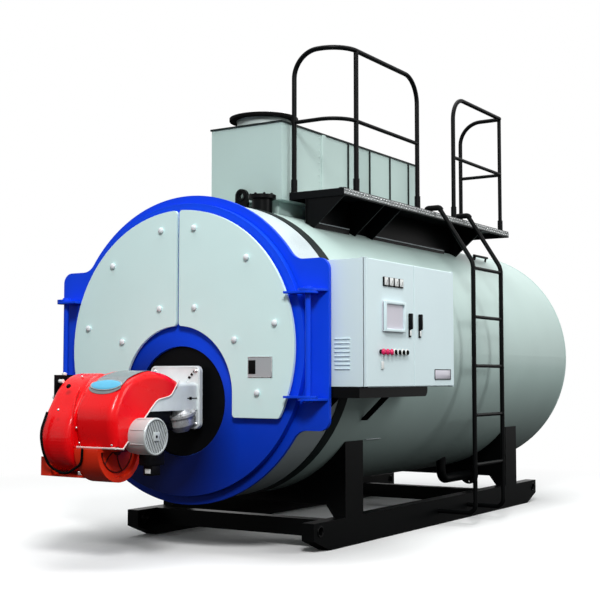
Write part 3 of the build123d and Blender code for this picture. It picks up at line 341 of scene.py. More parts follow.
def piece(name, kit, body, slot, look=None, replaces=()):
    """Turns a kit or a ready mesh into one shown object that rides on a body."""
    mesh = kit
    if isinstance(kit, bmesh.types.BMesh):
        for face in kit.faces:
            face.smooth = True
        for edge in kit.edges:
            edge.smooth = len(edge.link_faces) == 2 and edge.calc_face_angle(0.0) < SMOOTH_ANGLE
        mesh = bpy.data.meshes.new(name)
        kit.to_mesh(mesh)
        kit.free()
    mesh.name = name
    mesh.materials.clear()
    mesh.materials.append(FINISHES[look or slot])
    made = bpy.data.objects.new(name, mesh)
    bpy.context.scene.collection.objects.link(made)
    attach(made, body)
    if replaces:
        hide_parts(*replaces)


print("pieces stay crisp over", round(SMOOTH_ANGLE, 2), "radians")

# %% [markdown]
# What repeats is made by Geometry Nodes: one small shape, put on many places. A place is a vertex with a
# turn stored on it. The tree reads the turn, instances the shape, realizes the instances and sets the
# material, because an export keeps only real meshes.

# %% Geometry Nodes helpers
def new_tree(name, sizes):
    """A tree and its inputs: Places, Material and one number for each named size."""
    tree = bpy.data.node_groups.new(name, "GeometryNodeTree")
    tree.interface.new_socket("Places", in_out="INPUT", socket_type="NodeSocketGeometry")
    for title, value in sizes.items():
        socket = tree.interface.new_socket(title, in_out="INPUT", socket_type="NodeSocketFloat")
        socket.default_value = value
    tree.interface.new_socket("Material", in_out="INPUT", socket_type="NodeSocketMaterial")
    tree.interface.new_socket("Pieces", in_out="OUTPUT", socket_type="NodeSocketGeometry")
    return tree, tree.nodes.new("NodeGroupInput").outputs


def sized(tree, shape, x, y, z, shift=(0.0, 0.0, 0.0)):
    """A shape of unit size, stretched to three lengths and shifted."""
    lengths = add_node(tree, "ShaderNodeCombineXYZ", {0: x, 1: y, 2: z}).outputs[0]
    return add_node(tree, "GeometryNodeTransform", {
        "Geometry": shape, "Translation": shift, "Scale": lengths}).outputs[0]


def end_on_places(tree, given, shape):
    """Instances a shape on the places, turned as stored there, makes it real and sets its material."""
    turn = add_node(tree, "GeometryNodeInputNamedAttribute", {"Name": "turn"}, data_type="FLOAT_VECTOR")
    angle = add_node(tree, "FunctionNodeEulerToRotation", {0: turn.outputs["Attribute"]})
    many = add_node(tree, "GeometryNodeInstanceOnPoints", {
        "Points": given["Places"], "Instance": shape, "Rotation": angle.outputs[0]})
    real = add_node(tree, "GeometryNodeRealizeInstances", {"Geometry": many.outputs[0]})
    painted = add_node(tree, "GeometryNodeSetMaterial", {"Geometry": real.outputs[0], "Material": given["Material"]})
    add_node(tree, "NodeGroupOutput", {"Pieces": painted.outputs[0]})


def run_tree(tree, name, places, body, slot, look=None, replaces=(), **sizes):
    """Runs a tree on its places and keeps the result as one plain mesh."""
    mesh = bpy.data.meshes.new(name)
    mesh.from_pydata([spot for spot, _ in places], [], [])
    turn = mesh.attributes.new("turn", "FLOAT_VECTOR", "POINT")
    for k, (_, angle) in enumerate(places):
        turn.data[k].vector = angle
    maker = bpy.data.objects.new(name + "_maker", mesh)
    bpy.context.scene.collection.objects.link(maker)
    modifier = maker.modifiers.new("tree", "NODES")
    modifier.node_group = tree
    wanted = dict(sizes, Material=FINISHES[look or slot])
    for item in tree.interface.items_tree:
        if item.in_out == "INPUT" and item.name.replace(" ", "_") in wanted:
            modifier[item.identifier] = wanted[item.name.replace(" ", "_")]
    result = bpy.data.meshes.new_from_object(maker.evaluated_get(bpy.context.evaluated_depsgraph_get()))
    maker.modifiers.remove(modifier)
    bpy.data.objects.remove(maker)
    if "turn" in result.attributes:
        result.attributes.remove(result.attributes["turn"])
    piece(name, result, body, slot, look, replaces)
    print(name, len(result.polygons), "faces")


print("Geometry Nodes helpers ready")

# %% [markdown]
# A place needs a turn that points the shape's Z away from the surface. The turn could be typed as angles,
# but it is safer to work it out from the direction itself.

# %% Places
FRONT, SIDE, UP = (0.0, -1.0, 0.0), (1.0, 0.0, 0.0), (0.0, 0.0, 1.0)
NO_TURN = (0.0, 0.0, 0.0)


def turned_to(out):
    """The turn that points a shape's Z along out and its Y as far up as it goes."""
    out = Vector(out).normalized()
    up = Vector(UP) if abs(out.z) <= 0.95 else Vector((0, 1, 0))
    right = up.cross(out).normalized()
    return tuple(Matrix((right, out.cross(right), out)).transposed().to_euler())


def facing(out, *spots):
    """Places at some spots, all turned to point out."""
    return [(spot, turned_to(out)) for spot in spots]


def ring_places(centre, radius, count, out, first=0.0):
    """Places on a circle about an axis that points out."""
    pair = frame_of(out)
    return facing(out, *[tuple(Vector(centre) + spin(pair, first + 2 * pi * k / count, radius))
                         for k in range(count)])


print("a place on the front is turned by", FRONT, "->", turned_to(FRONT))

# %% [markdown]
# The burner cover is the piece that the eye meets first. It could be a box with rounded edges, but its
# side view is one outline with soft corners, so it is lofted: copies of the outline stand across the
# boiler, and near both sides they draw in along a quarter circle, which gives round shoulders.

# %% Burner cover
HOOD_LEFT, HOOD_RIGHT = -0.118, 0.182
HOOD_ROUND, ROUND_STEPS = 0.050, 8
HOOD_FRONT = [(-3.079, 0.700), (-3.108, 0.800), (-3.112, 0.900), (-3.010, 1.085),
              (-2.782, 1.146), (-2.600, 1.120), (-2.508, 1.083)]
HOOD_BACK = [(-2.508, 1.083), (-2.585, 0.988), (-2.716, 0.966), (-3.015, 0.692)]


def flat_path(points, radius):
    """A rounded path in the side plane as (y, z) rows."""
    return [(p.x, p.y) for p in rounded([(y, z, 0.0) for y, z in points], radius, 7)]


HOOD_ROWS = flat_path(HOOD_FRONT, 0.13)
HOOD_EDGE = flat_path(HOOD_BACK, 0.03)


def hood_outline(draw):
    """The side outline of the cover with its front and top drawn in."""
    rows = []
    for k, (y, z) in enumerate(HOOD_ROWS):
        before, after = HOOD_ROWS[max(k - 1, 0)], HOOD_ROWS[min(k + 1, len(HOOD_ROWS) - 1)]
        along = Vector((after[0] - before[0], after[1] - before[1])).normalized()
        rows.append((y + along.y * draw, z - along.x * draw))
    return rows + HOOD_EDGE[1:]


quarter = [pi / 2 * k / ROUND_STEPS for k in range(ROUND_STEPS + 1)]
stations = [(HOOD_LEFT + HOOD_ROUND * (1 - cos(turn)), HOOD_ROUND * (1 - sin(turn))) for turn in quarter]
stations += [(HOOD_LEFT + HOOD_RIGHT - x, draw) for x, draw in reversed(stations)]
hood = bmesh.new()
close_form(hood, [[hood.verts.new((x, y, z)) for y, z in hood_outline(draw)] for x, draw in stations])
piece("burner_cover", hood, DOOR, "burner_red", replaces=("burner_hood",))

trim = bmesh.new()
for x in (HOOD_LEFT - 0.001, HOOD_RIGHT + 0.001):
    add_tube(trim, [(x, y, z) for y, z in HOOD_EDGE], 0.0045, 8)
add_tube(trim, [(HOOD_LEFT, -3.076, 0.697), (HOOD_RIGHT, -3.076, 0.697)], 0.0065, 8)
add_tube(trim, [(HOOD_RIGHT + 0.001, -3.076, 0.697), (HOOD_RIGHT + 0.001, -3.012, 0.690)], 0.0055, 8)
piece("burner_cover_piping", trim, DOOR, "burner_red", look="white_trim")
print("cover outline rows:", len(hood_outline(0.0)))

# %% [markdown]
# The fan scroll follows a rule: its reach swells twice in each turn, which makes its side an oval, and
# across its width it follows a superellipse, so that its sides are flat and its shoulders fat. It could
# be sculpted, but Geometry Nodes bends a plain grid into it, with one number input for each size.

# %% Fan scroll from a rule
scroll_tree, given = new_tree(
    "scroll_rule", {"Reach": 0.262, "Growth": 0.08, "Half Width": 0.1, "Fatness": 0.5, "Start": 0.0})
step = partial(math_node, scroll_tree)
grid = add_node(scroll_tree, "GeometryNodeMeshGrid", {
    "Size X": 1.0, "Size Y": 1.0, "Vertices X": 97, "Vertices Y": 61})
where = add_node(scroll_tree, "GeometryNodeInputPosition").outputs[0]
spot = add_node(scroll_tree, "ShaderNodeSeparateXYZ", {0: where}).outputs
around = step("MULTIPLY", step("ADD", spot[0], 0.5), 2 * pi)
over = step("MULTIPLY", step("ADD", spot[1], 0.5), pi)
swell = step("COSINE", step("ADD", step("MULTIPLY", around, 2.0), given["Start"]))
shrink = step("MULTIPLY", given["Growth"], step("MULTIPLY", step("SUBTRACT", 1.0, swell), 0.5))
reach = step("MULTIPLY", given["Reach"], step("SUBTRACT", 1.0, shrink))
rise = step("POWER", step("MAXIMUM", step("SINE", over), 0.0), given["Fatness"])
radius = step("MULTIPLY", reach, rise)
slide = step("COSINE", over)
width = step("MULTIPLY", step("SIGN", slide), step("POWER", step("ABSOLUTE", slide), given["Fatness"]))
bent = add_node(scroll_tree, "ShaderNodeCombineXYZ", {
    0: step("MULTIPLY", width, given["Half Width"]),
    1: step("MULTIPLY", radius, step("COSINE", around)),
    2: step("MULTIPLY", radius, step("SINE", around))})
formed = add_node(scroll_tree, "GeometryNodeSetPosition", {"Geometry": grid.outputs[0], "Position": bent.outputs[0]})
outward = add_node(scroll_tree, "GeometryNodeFlipFaces", {0: formed.outputs[0]})
closed = add_node(scroll_tree, "GeometryNodeMergeByDistance", {"Geometry": outward.outputs[0], "Distance": 0.00002})
end_on_places(scroll_tree, given, closed.outputs[0])
run_tree(scroll_tree, "fan_scroll_cover", [((-0.238, -2.897, 0.835), NO_TURN)], DOOR, "burner_red",
         replaces=("fan_scroll",), Reach=0.309, Growth=0.349, Half_Width=0.124, Fatness=0.26,
         Start=radians(-114.4))

# %% [markdown]
# The window panel and its bare badge lie on the curved front of the cover. They could be flat plates that
# sink in at the middle. Instead a place on the surface is given by two numbers, how far across the boiler
# and how far along the outline from the foot, so the plates follow the bend.

# %% A patch on the cover
HOOD_RUN = [0.0]
for start, stop in zip(HOOD_ROWS, HOOD_ROWS[1:]):
    HOOD_RUN.append(HOOD_RUN[-1] + sqrt((stop[0] - start[0]) ** 2 + (stop[1] - start[1]) ** 2))


def on_cover(x, run, lift):
    """A point on the cover's front, run metres along the outline, lifted off the surface."""
    k = max(i for i in range(len(HOOD_RUN) - 1) if HOOD_RUN[i] <= run)
    start, stop = Vector(HOOD_ROWS[k]), Vector(HOOD_ROWS[k + 1])
    along = (stop - start).normalized()
    spot = start + along * (run - HOOD_RUN[k])
    return Vector((x, spot[0] - along.y * lift, spot[1] + along.x * lift))


def add_patch(kit, shape, low, high, count=6, steps=48):
    """A plate on the cover: shape(turn) gives its edge as (x, run), low and high its two lifts."""
    edge = [shape(2 * pi * k / steps) for k in range(steps)]
    mid_x, mid_run = (sum(e[i] for e in edge) / steps for i in (0, 1))

    def ring(share, lift):
        return [kit.verts.new(on_cover(mid_x + (x - mid_x) * share, mid_run + (run - mid_run) * share, lift))
                for x, run in edge]

    shares = [r / count for r in range(1, count + 1)]
    rings = [[kit.verts.new(on_cover(mid_x, mid_run, low))]] + [ring(share, low) for share in shares]
    rings += [ring(share, high - (0.0015 if share == 1 else 0.0)) for share in reversed(shares)]
    close_form(kit, rings + [[kit.verts.new(on_cover(mid_x, mid_run, high))]])


print("the cover's outline runs", round(HOOD_RUN[-1], 3), "m")

# %% [markdown]
# The panel is a lens in front that runs into a wide tail on top, and the badge an oval with a rim.

# %% Window panel and plain badge
BADGE_X, BADGE_RUN = 0.050, 0.385


def window_edge(turn):
    """The edge of the panel, lens in front and tail on top."""
    across, ahead = cos(turn), sin(turn)
    if ahead < 0:
        return BADGE_X + 0.124 * across, BADGE_RUN - 0.010 + 0.056 * ahead
    wide = abs(across) ** 0.5 * (1 if across > 0 else -1)
    return BADGE_X + 0.006 + 0.110 * wide, BADGE_RUN - 0.010 + 0.36 * ahead ** 0.8


def badge_edge(turn, grow=0.0):
    """The oval of the badge."""
    return BADGE_X + (0.110 + grow) * cos(turn), BADGE_RUN + (0.037 + grow) * sin(turn)


window = bmesh.new()
add_patch(window, window_edge, 0.0005, 0.004)
piece("cover_window", window, DOOR, "burner_red", look="smoked_window")
badge = bmesh.new()
add_patch(badge, badge_edge, 0.0045, 0.010)
piece("cover_badge", badge, DOOR, "burner_red", look="badge_blue")
rim = bmesh.new()
add_tube(rim, [on_cover(*badge_edge(2 * pi * (k % 48) / 48, 0.004), 0.006) for k in range(49)], 0.0035, 6)
piece("cover_badge_rim", rim, DOOR, "burner_red", look="plate_grey")
print("window edge starts at", window_edge(0.0))

# %% [markdown]
# A rubber edging runs round the scroll's foot, and a raised ridge marks the joint to the cover. Both are
# bars along a few measured points, which is simpler than projecting a curve on the scroll.

# %% Scroll edging, ridge and hole plug
edging = bmesh.new()
add_tube(edging, rounded([(-0.300, -3.133, 0.897), (-0.304, -3.183, 0.780), (-0.304, -3.160, 0.665),
                          (-0.290, -3.115, 0.575), (-0.240, -3.060, 0.538), (-0.180, -3.075, 0.548),
                          (-0.118, -3.092, 0.572), (-0.045, -3.112, 0.606), (-0.026, -3.128, 0.692)], 0.05, 8),
         0.0078, 8)
piece("scroll_edging", edging, DOOR, "cast_black", look="rubber_black")
ridge = bmesh.new()
add_tube(ridge, [(-0.140, -3.030, 1.040), (-0.132, -3.075, 0.990), (-0.118, -3.104, 0.930),
                 (-0.118, -3.112, 0.850), (-0.118, -3.108, 0.770), (-0.118, -3.102, 0.702)], 0.006, 8)
piece("scroll_ridge", ridge, DOOR, "burner_red")
hole = bmesh.new()
add_turned(hole, [(0.0, 0.006), (0.011, 0.006), (0.014, 0.003), (0.015, -0.004)],
           (-0.206, -3.058, 1.049), (0.0, -0.70, 0.71), 20)
piece("scroll_hole_plug", hole, DOOR, "cast_black", look="shadow_black")
print("scroll trim done")

# %% [markdown]
# Screws, rivets and the round knobs on the covers are domed heads of three sizes. One tree makes them all
# from a flattened UV sphere. The knobs sit on the solids' own studs: the vertices of the studs are
# grouped by nearness, and the middle of each group is a place.

# %% Domed heads
dome_tree, given = new_tree("domed_head", {"Reach": 0.01, "Height": 0.005})
ball = add_node(dome_tree, "GeometryNodeMeshUVSphere", {"Segments": 20, "Rings": 10, "Radius": 1.0})
end_on_places(dome_tree, given, sized(dome_tree, ball.outputs[0], given["Reach"], given["Reach"], given["Height"]))

KNOB_Y, STUD_SPREAD = -2.311, 0.04
studs = []
for vertex in NODES["cover_studs"].data.vertices:
    world = NODES["cover_studs"].matrix_world @ vertex.co
    for known in studs:
        if (known[0] / known[2] - world.x) ** 2 + (known[1] / known[2] - world.z) ** 2 < STUD_SPREAD ** 2:
            break
    else:
        known = [0.0, 0.0, 0]
        studs.append(known)
    known[:] = known[0] + world.x, known[1] + world.z, known[2] + 1
print("studs on the covers:", len(studs))
run_tree(dome_tree, "cover_knobs", facing(FRONT, *[(x / n, KNOB_Y, z / n) for x, z, n in studs]),
         DOOR, "knob_white", Reach=0.0195, Height=0.0125)
run_tree(dome_tree, "cover_screws",
         facing(FRONT, (-0.088, -3.088, 0.722), (0.150, -3.076, 0.716), (-0.10, -3.10, 0.81))
         + facing((0, -1, 0.3), (-0.176, -3.171, 0.913)) + facing((0, -1, -0.8), (-0.290, -3.098, 0.622))
         + facing((0, -0.1, 1), (-0.216, -2.934, 1.106)),
         DOOR, "burner_red", look="bright_steel", Reach=0.0075, Height=0.006)
rivets = [(0.2972, -1.060 + 0.075 * j, 2.365 + 0.045 * k) for k in range(11) for j in range(2)]
run_tree(dome_tree, "economizer_rivets", facing(SIDE, *rivets), BOILER, "pale_cladding", Reach=0.006, Height=0.004)

# %% [markdown]
# A hexagon bolt is a washer, a head and a shank. They could be three objects, but one tree joins three
# cylinders whose sizes are shares of the bolt's reach and height, so it fits every flange.

# %% Hexagon bolts
bolt_tree, given = new_tree("hexagon_bolt", {"Reach": 0.011, "Height": 0.008})
step = partial(math_node, bolt_tree)
join = add_node(bolt_tree, "GeometryNodeJoinGeometry")
for sides, wide, tall, middle in ((20, 1.25, 0.3, 0.05), (6, 1.0, 1.0, 0.6), (16, 0.55, 0.5, 1.3)):
    part = add_node(bolt_tree, "GeometryNodeMeshCylinder", {"Vertices": sides, "Radius": 1.0, "Depth": 1.0})
    span, rise = step("MULTIPLY", given["Reach"], wide), step("MULTIPLY", given["Height"], tall)
    lift = add_node(bolt_tree, "ShaderNodeCombineXYZ", {2: step("MULTIPLY", given["Height"], middle)})
    bolt_tree.links.new(sized(bolt_tree, part.outputs[0], span, span, rise, lift.outputs[0]), join.inputs[0])
end_on_places(bolt_tree, given, join.outputs[0])

FLUE = (0.0, -1.330, 2.937)
run_tree(bolt_tree, "flue_bolts", ring_places(FLUE, 0.220, 12, UP, radians(15)), BOILER, "flue_paint",
         look="bright_steel", Reach=0.011, Height=0.008)
run_tree(bolt_tree, "blow_down_bolts", ring_places((0.462, 1.120, 0.275), 0.060, 8, (0, 1, 0), radians(22.5)),
         BOILER, "black_paint", Reach=0.011, Height=0.008)
run_tree(bolt_tree, "handhole_bolts", ring_places((0.205, -1.650, 2.330), 0.078, 8, UP),
         BOILER, "black_paint", Reach=0.010, Height=0.007)
run_tree(bolt_tree, "burner_flange_bolts",
         facing(FRONT, *[(x, -2.3205, z) for x in (-0.165, 0.165) for z in (0.811, 1.141)]),
         DOOR, "cream_casting", look="bright_steel", Reach=0.012, Height=0.009)

# %% [markdown]
# The fan motor's end is a round grille of slanted bars. Each bar is a cube on a line of points, and its
# length is the chord of the circle at its height, which the tree works out by Pythagoras.

# %% Motor grille
MOTOR = (0.299, -2.870, 0.759)
grille_tree, given = new_tree("motor_grille", {"Reach": 0.074, "Bar": 0.0055})
step = partial(math_node, grille_tree)
line = add_node(grille_tree, "GeometryNodeMeshLine", {
    "Count": 13, "Start Location": (0.0, -0.087, 0.0), "Offset": (0.0, 0.0145, 0.0)})
where = add_node(grille_tree, "GeometryNodeInputPosition").outputs[0]
row = add_node(grille_tree, "ShaderNodeSeparateXYZ", {0: where}).outputs[1]
chord = step("SQRT", step("SUBTRACT", step("POWER", given["Reach"], 2.0), step("POWER", row, 2.0)))
size = add_node(grille_tree, "ShaderNodeCombineXYZ", {0: chord, 1: given["Bar"], 2: 0.003})
bar = add_node(grille_tree, "GeometryNodeMeshCube", {"Size": (2.0, 1.0, 1.0)})
bars = add_node(grille_tree, "GeometryNodeInstanceOnPoints", {
    "Points": line.outputs[0], "Instance": bar.outputs[0], "Scale": size.outputs[0]})
real = add_node(grille_tree, "GeometryNodeRealizeInstances", {"Geometry": bars.outputs[0]})
end_on_places(grille_tree, given, real.outputs[0])
slant = Matrix.Rotation(radians(72), 3, "X") @ Euler(turned_to(SIDE)).to_matrix()
run_tree(grille_tree, "motor_grille", [((0.3015, *MOTOR[1:]), tuple(slant.to_euler()))], DOOR, "motor_grey",
         Reach=0.097, Bar=0.0064)

# %% [markdown]
# The motor's case is turned: its profile steps down at the back as the fan cowl of such a motor does.
# Cooling ribs are bars on it, and the terminal block and the linkage under the cover are dark boxes.

# %% Motor case and terminal block
RIBS = 8
motor = bmesh.new()
add_turned(motor, [(0.0, -0.215), (0.050, -0.215), (0.060, -0.175), (0.100, -0.160), (0.106, -0.120),
                   (0.108, -0.020), (0.1085, 0.003), (0.104, 0.0085), (0.097, 0.0085), (0.0965, 0.0)],
           MOTOR, SIDE, 48)
add_box(motor, (0.300, -2.896, 0.733), (0.309, -2.844, 0.785), 0.002)
for k in range(RIBS):
    base = Vector((0.197, *MOTOR[1:])) + spin(((0, 1, 0), UP), 2 * pi * (k + 0.5) / RIBS, 0.1075)
    add_tube(motor, [base, base + Vector((0.098, 0, 0))], 0.0035, 6)
piece("motor_case", motor, DOOR, "motor_grey", replaces=("fan_motor",))
dark = bmesh.new()
add_turned(dark, [(0.0964, 0.0005), (0.0964, 0.0012)], MOTOR, SIDE, 40)
add_turned(dark, [(0.009, 0.0), (0.009, 0.0014)], (0.3082, *MOTOR[1:]), SIDE, 20)
for low, high, bevel in (((0.195, -2.895, 0.590), (0.280, -2.760, 0.675), 0.006),
                         ((0.205, -2.866, 0.532), (0.272, -2.786, 0.600), 0.006),
                         ((0.020, -2.805, 0.815), (0.165, -2.560, 0.905), 0.012),
                         ((-0.060, -2.700, 0.780), (0.120, -2.450, 0.895), 0.010)):
    add_box(dark, low, high, bevel)
piece("motor_terminal_block", dark, DOOR, "motor_grey", look="handle_black")
tag = bmesh.new()
add_box(tag, (0.222, -2.869, 0.545), (0.262, -2.865, 0.572), 0.001)
piece("motor_tag", tag, DOOR, "motor_grey", look="meter_face")
print("motor ribs:", RIBS)

# %% [markdown]
# The cast flange has a raised rim, four ribs towards its middle and three slots in a corner. On a casting
# these are part of the skin, so round bars are half sunk in the solid's face.

# %% Burner flange: ribs and slots
FLANGE_Y = -2.3205


def edge_loop(place, low, high, corner):
    """A closed path round a flat rectangle with rounded corners; place(u, v) puts it into space."""
    (u0, v0), (u1, v1) = low, high
    middle = (v0 + v1) / 2
    corners = ((u0, middle), (u0, v1), (u1, v1), (u1, v0), (u0, v0), (u0, middle))
    return rounded([place(u, v) for u, v in corners], corner)


ribs = bmesh.new()
for x in (-0.165, 0.165):
    for z, step_in, inner_z in ((1.141, -0.012, 1.062), (0.811, 0.012, 0.905)):
        add_tube(ribs, [(x * 0.92, FLANGE_Y, z + step_in), (x * 0.42, FLANGE_Y, inner_z)], 0.007, 8)
add_tube(ribs, edge_loop(lambda x, z: (x, FLANGE_Y, z), (-0.188, 0.788), (0.188, 1.164), 0.028), 0.0045, 6)
piece("burner_flange_ribs", ribs, DOOR, "cream_casting")
# The slots are black bars: painted shade for the dark inside of each slot.
slots = bmesh.new()
for x, z in ((0.119, 1.100), (0.138, 1.119), (0.157, 1.139)):
    add_tube(slots, [(x - 0.004, -2.3245, z - 0.005), (x + 0.004, -2.3245, z + 0.005)], 0.0085, 8)
add_box(slots, (0.1785, -2.42, 0.968), (0.1800, -2.325, 0.974))
add_box(slots, (0.1785, -2.40, 0.962), (0.1802, -2.378, 0.980))
piece("burner_flange_slots", slots, DOOR, "cream_casting", look="shadow_black")
print("flange done")

# %% [markdown]
# Under the duct sits the gas valve, a turned body with a bolted flange and a pipe stub. In the photograph
# it is small and mottled, so turned forms and a drifting silver say enough.

# %% Gas valve under the duct
VALVE_AXIS = (0.0, -0.25, 0.97)
valve = bmesh.new()
add_turned(valve, [(0.0, -0.110), (0.048, -0.104), (0.084, -0.064), (0.090, -0.014), (0.101, -0.009),
                   (0.101, 0.009), (0.080, 0.014), (0.058, 0.040), (0.038, 0.055)],
           (0.118, -2.420, 0.872), VALVE_AXIS, 28)
add_turned(valve, [(0.026, 0.0), (0.026, 0.075), (0.034, 0.078), (0.034, 0.090), (0.0, 0.092)],
           (0.085, -2.41, 0.850), (-0.75, -0.55, 0.2), 20)
piece("gas_valve_body", valve, DOOR, "cream_casting", look="valve_silver")
caps = bmesh.new()
add_turned(caps, [(0.045, 0.0), (0.050, 0.010), (0.048, 0.040), (0.030, 0.052), (0.0, 0.054)],
           (0.110, -2.400, 0.895), (0.1, -0.45, 0.9), 24)
add_turned(caps, [(0.030, 0.0), (0.030, 0.026), (0.018, 0.034), (0.0, 0.034)],
           (0.118, -2.452, 0.835), (0.3, -0.95, 0.0), 20)
add_box(caps, (0.035, -2.440, 0.868), (0.170, -2.345, 0.884), 0.004)
piece("gas_valve_caps", caps, DOOR, "cast_black")
run_tree(bolt_tree, "gas_valve_bolts", ring_places((0.118, -2.4223, 0.8807), 0.091, 8, VALVE_AXIS),
         DOOR, "cast_black", look="bright_steel", Reach=0.007, Height=0.006)

# %% [markdown]
# On the far side of the scroll a black plate carries switches with pale knobs. The plate stands further
# back than the solid's, as the photograph shows it, and a stud joins each knob to the scroll.

# %% Switch bracket
bracket = bmesh.new()
add_box(bracket, (-0.394, -2.985, 0.955), (-0.382, -2.825, 1.115))
piece("switch_bracket_plate", bracket, DOOR, "cast_black", replaces=("switch_bracket",))
knobs = bmesh.new()
for y, z in ((-2.950, 1.080), (-2.875, 1.065), (-2.960, 0.980)):
    add_turned(knobs, [(0.013, 0.0), (0.017, 0.004), (0.017, 0.018), (0.012, 0.024), (0.0, 0.026)],
               (-0.394, y, z), (-1, 0, 0), 18)
    add_turned(knobs, [(0.012, 0.0), (0.012, 0.032), (0.0, 0.033)], (-0.384, y, z - 0.004), SIDE, 18)
add_turned(knobs, [(0.014, 0.0), (0.016, 0.012), (0.0, 0.018)], (-0.388, -2.905, 1.113), UP, 18)
piece("switch_bracket_knobs", knobs, DOOR, "cast_black", look="meter_face")
print("switch knobs:", 4)

# %% [markdown]
# The fan drum's inlet has a wire ring, five bent arms and a hub. The arms bend a little as they go out,
# and so each one is a bar through five points.

# %% Fan inlet spokes
ARMS, RING, HUB = 5, 0.132, 0.030
SPIN = Vector((0.0585, -2.925, 0.680))
spokes = bmesh.new()
add_tube(spokes, circle(SPIN, ((0, 1, 0), UP), RING, 40), 0.004, 6)
for arm in range(ARMS):
    start = 2 * pi * arm / ARMS + radians(-90)
    add_tube(spokes, [SPIN + spin(((0, 1, 0), UP), start + 0.35 * t, HUB + (RING - HUB) * t)
                      for t in (0.0, 0.25, 0.5, 0.75, 1.0)], 0.004, 6)
add_turned(spokes, [(0.034, -0.003), (0.034, 0.006), (0.026, 0.010), (0.0, 0.010)], SPIN, SIDE, 24)
piece("fan_inlet_spokes", spokes, DOOR, "orange_paint", look="spoke_brown")
print("arms:", ARMS)

# %% [markdown]
# The air box is folded sheet whose floor slopes down to the back. A prism of its side view gives the slope
# that a box can't, and a flat second prism carries the floor on under the drum.

# %% Air box with a sloping floor
air_box = bmesh.new()
for left, long, front, top, lip in ((-0.390, 0.085, -3.090, 0.634, 0.523), (-0.310, 0.210, -3.060, 0.530, 0.519)):
    side = [(front, top), (front, lip), (-2.900, 0.500), (-2.860, 0.500), (-2.860, top)]
    add_prism(air_box, side, lambda y, z, x: Vector((left + x, y, z)), long, 0.004)
piece("air_box_shell", air_box, DOOR, "orange_paint", replaces=("air_box",))
print("air box done")

# %% [markdown]
# The left leaf of the control cabinet carries four meters and a window in a raised frame. The frame could
# be a box with a hole cut through, but four bars round the opening need no boolean, and the same helper
# makes the door seals.

# %% Meters and window frame
LEAF = 1.287


def add_frame(kit, back, front, low, high, wide, bevel=0.0):
    """Four bars between two planes of x, round the opening from low to high as (y, z)."""
    (y0, z0), (y1, z1) = low, high
    for bar in ((y0 - wide, z0 - wide, y0, z1 + wide), (y1, z0 - wide, y1 + wide, z1 + wide),
                (y0, z0 - wide, y1, z0), (y0, z1, y1, z1 + wide)):
        add_box(kit, (back, *bar[:2]), (front, *bar[2:]), bevel)


faces, needles, frame_bars = bmesh.new(), bmesh.new(), bmesh.new()
for k in range(4):
    y = -1.913 + 0.066 * k
    add_box(faces, (LEAF + 0.0075, y - 0.020, 1.658), (LEAF + 0.0095, y + 0.027, 1.706), 0.002)
    add_tube(needles, [(LEAF + 0.0100, y + 0.004, 1.664), (LEAF + 0.0100, y + 0.014, 1.690)], 0.0012, 4)
add_frame(frame_bars, LEAF + 0.004, LEAF + 0.024, (-1.931, 1.394), (-1.697, 1.544), 0.018, 0.003)
piece("meter_faces", faces, LEFT_LEAF, "panel_dark", look="meter_face")
piece("meter_needles", needles, LEFT_LEAF, "panel_dark", look="rubber_black")
piece("window_frame", frame_bars, LEFT_LEAF, "cabinet_white")
print("meters:", 4)

# %% [markdown]
# Below them is a row of push buttons, three red and four black, and a key with its tag hangs from the
# first. The caps come from the tree of domed heads, and the pale bezels are turned.

# %% Buttons and key tag
button_ys = [-1.974 + 0.052 * k for k in range(7)]
for colour, look, ys, reach, height in (("red", "button_red", button_ys[:3], 0.0195, 0.010),
                                        ("black", "rubber_black", button_ys[3:], 0.0150, 0.008)):
    run_tree(dome_tree, "button_caps_" + colour, facing(SIDE, *[(LEAF + 0.022, y, 1.253) for y in ys]),
             LEFT_LEAF, "panel_dark", look=look, Reach=reach, Height=height)
bezels = bmesh.new()
for y in button_ys[3:]:
    add_turned(bezels, [(0.0, 0.0), (0.0205, 0.0), (0.0205, 0.004), (0.0175, 0.007), (0.0, 0.007)],
               (LEAF + 0.014, y, 1.2545), SIDE, 20)
piece("button_bezels", bezels, LEFT_LEAF, "panel_dark", look="meter_face")
tag = bmesh.new()
add_box(tag, (LEAF + 0.004, -1.972, 1.150), (LEAF + 0.007, -1.940, 1.196), 0.001)
add_tube(tag, [(LEAF + 0.0055, -1.956, 1.194), (LEAF + 0.010, -1.958, 1.222), (LEAF + 0.020, -1.966, 1.246)],
         0.0015, 6)
piece("key_tag", tag, LEFT_LEAF, "panel_dark", look="meter_face")

# %% [markdown]
# Each leaf has a swing handle with a pale lock, and a seal that closes the gap to the cabinet. Both are
# rubbed and turned with the leaf, so they ride on its body, not on the cabinet's.

# %% Handles and seals
SEAL = 0.008
for name, y, near, far, body in (("left", -1.597, -2.134, -1.532, LEFT_LEAF),
                                 ("right", -1.459, -1.524, -0.954, RIGHT_LEAF)):
    grip, lock, seal = bmesh.new(), bmesh.new(), bmesh.new()
    add_box(grip, (LEAF, y - 0.011, 1.350), (LEAF + 0.010, y + 0.011, 1.500), 0.003)
    add_box(grip, (LEAF + 0.006, y - 0.011, 1.400), (LEAF + 0.024, y + 0.011, 1.500), 0.005)
    add_box(lock, (LEAF + 0.009, y - 0.009, 1.360), (LEAF + 0.014, y + 0.009, 1.394), 0.002)
    add_frame(seal, 1.2645, 1.2695, (near + SEAL, 1.0485), (far - SEAL, 1.8015), SEAL)
    piece("handle_grip_" + name, grip, body, "handle_black", replaces=("cabinet_handle_" + name,))
    piece("handle_lock_" + name, lock, body, "handle_black", look="meter_face")
    piece("cabinet_seal_" + name, seal, body, "cabinet_white")
print("leaves dressed:", 2)

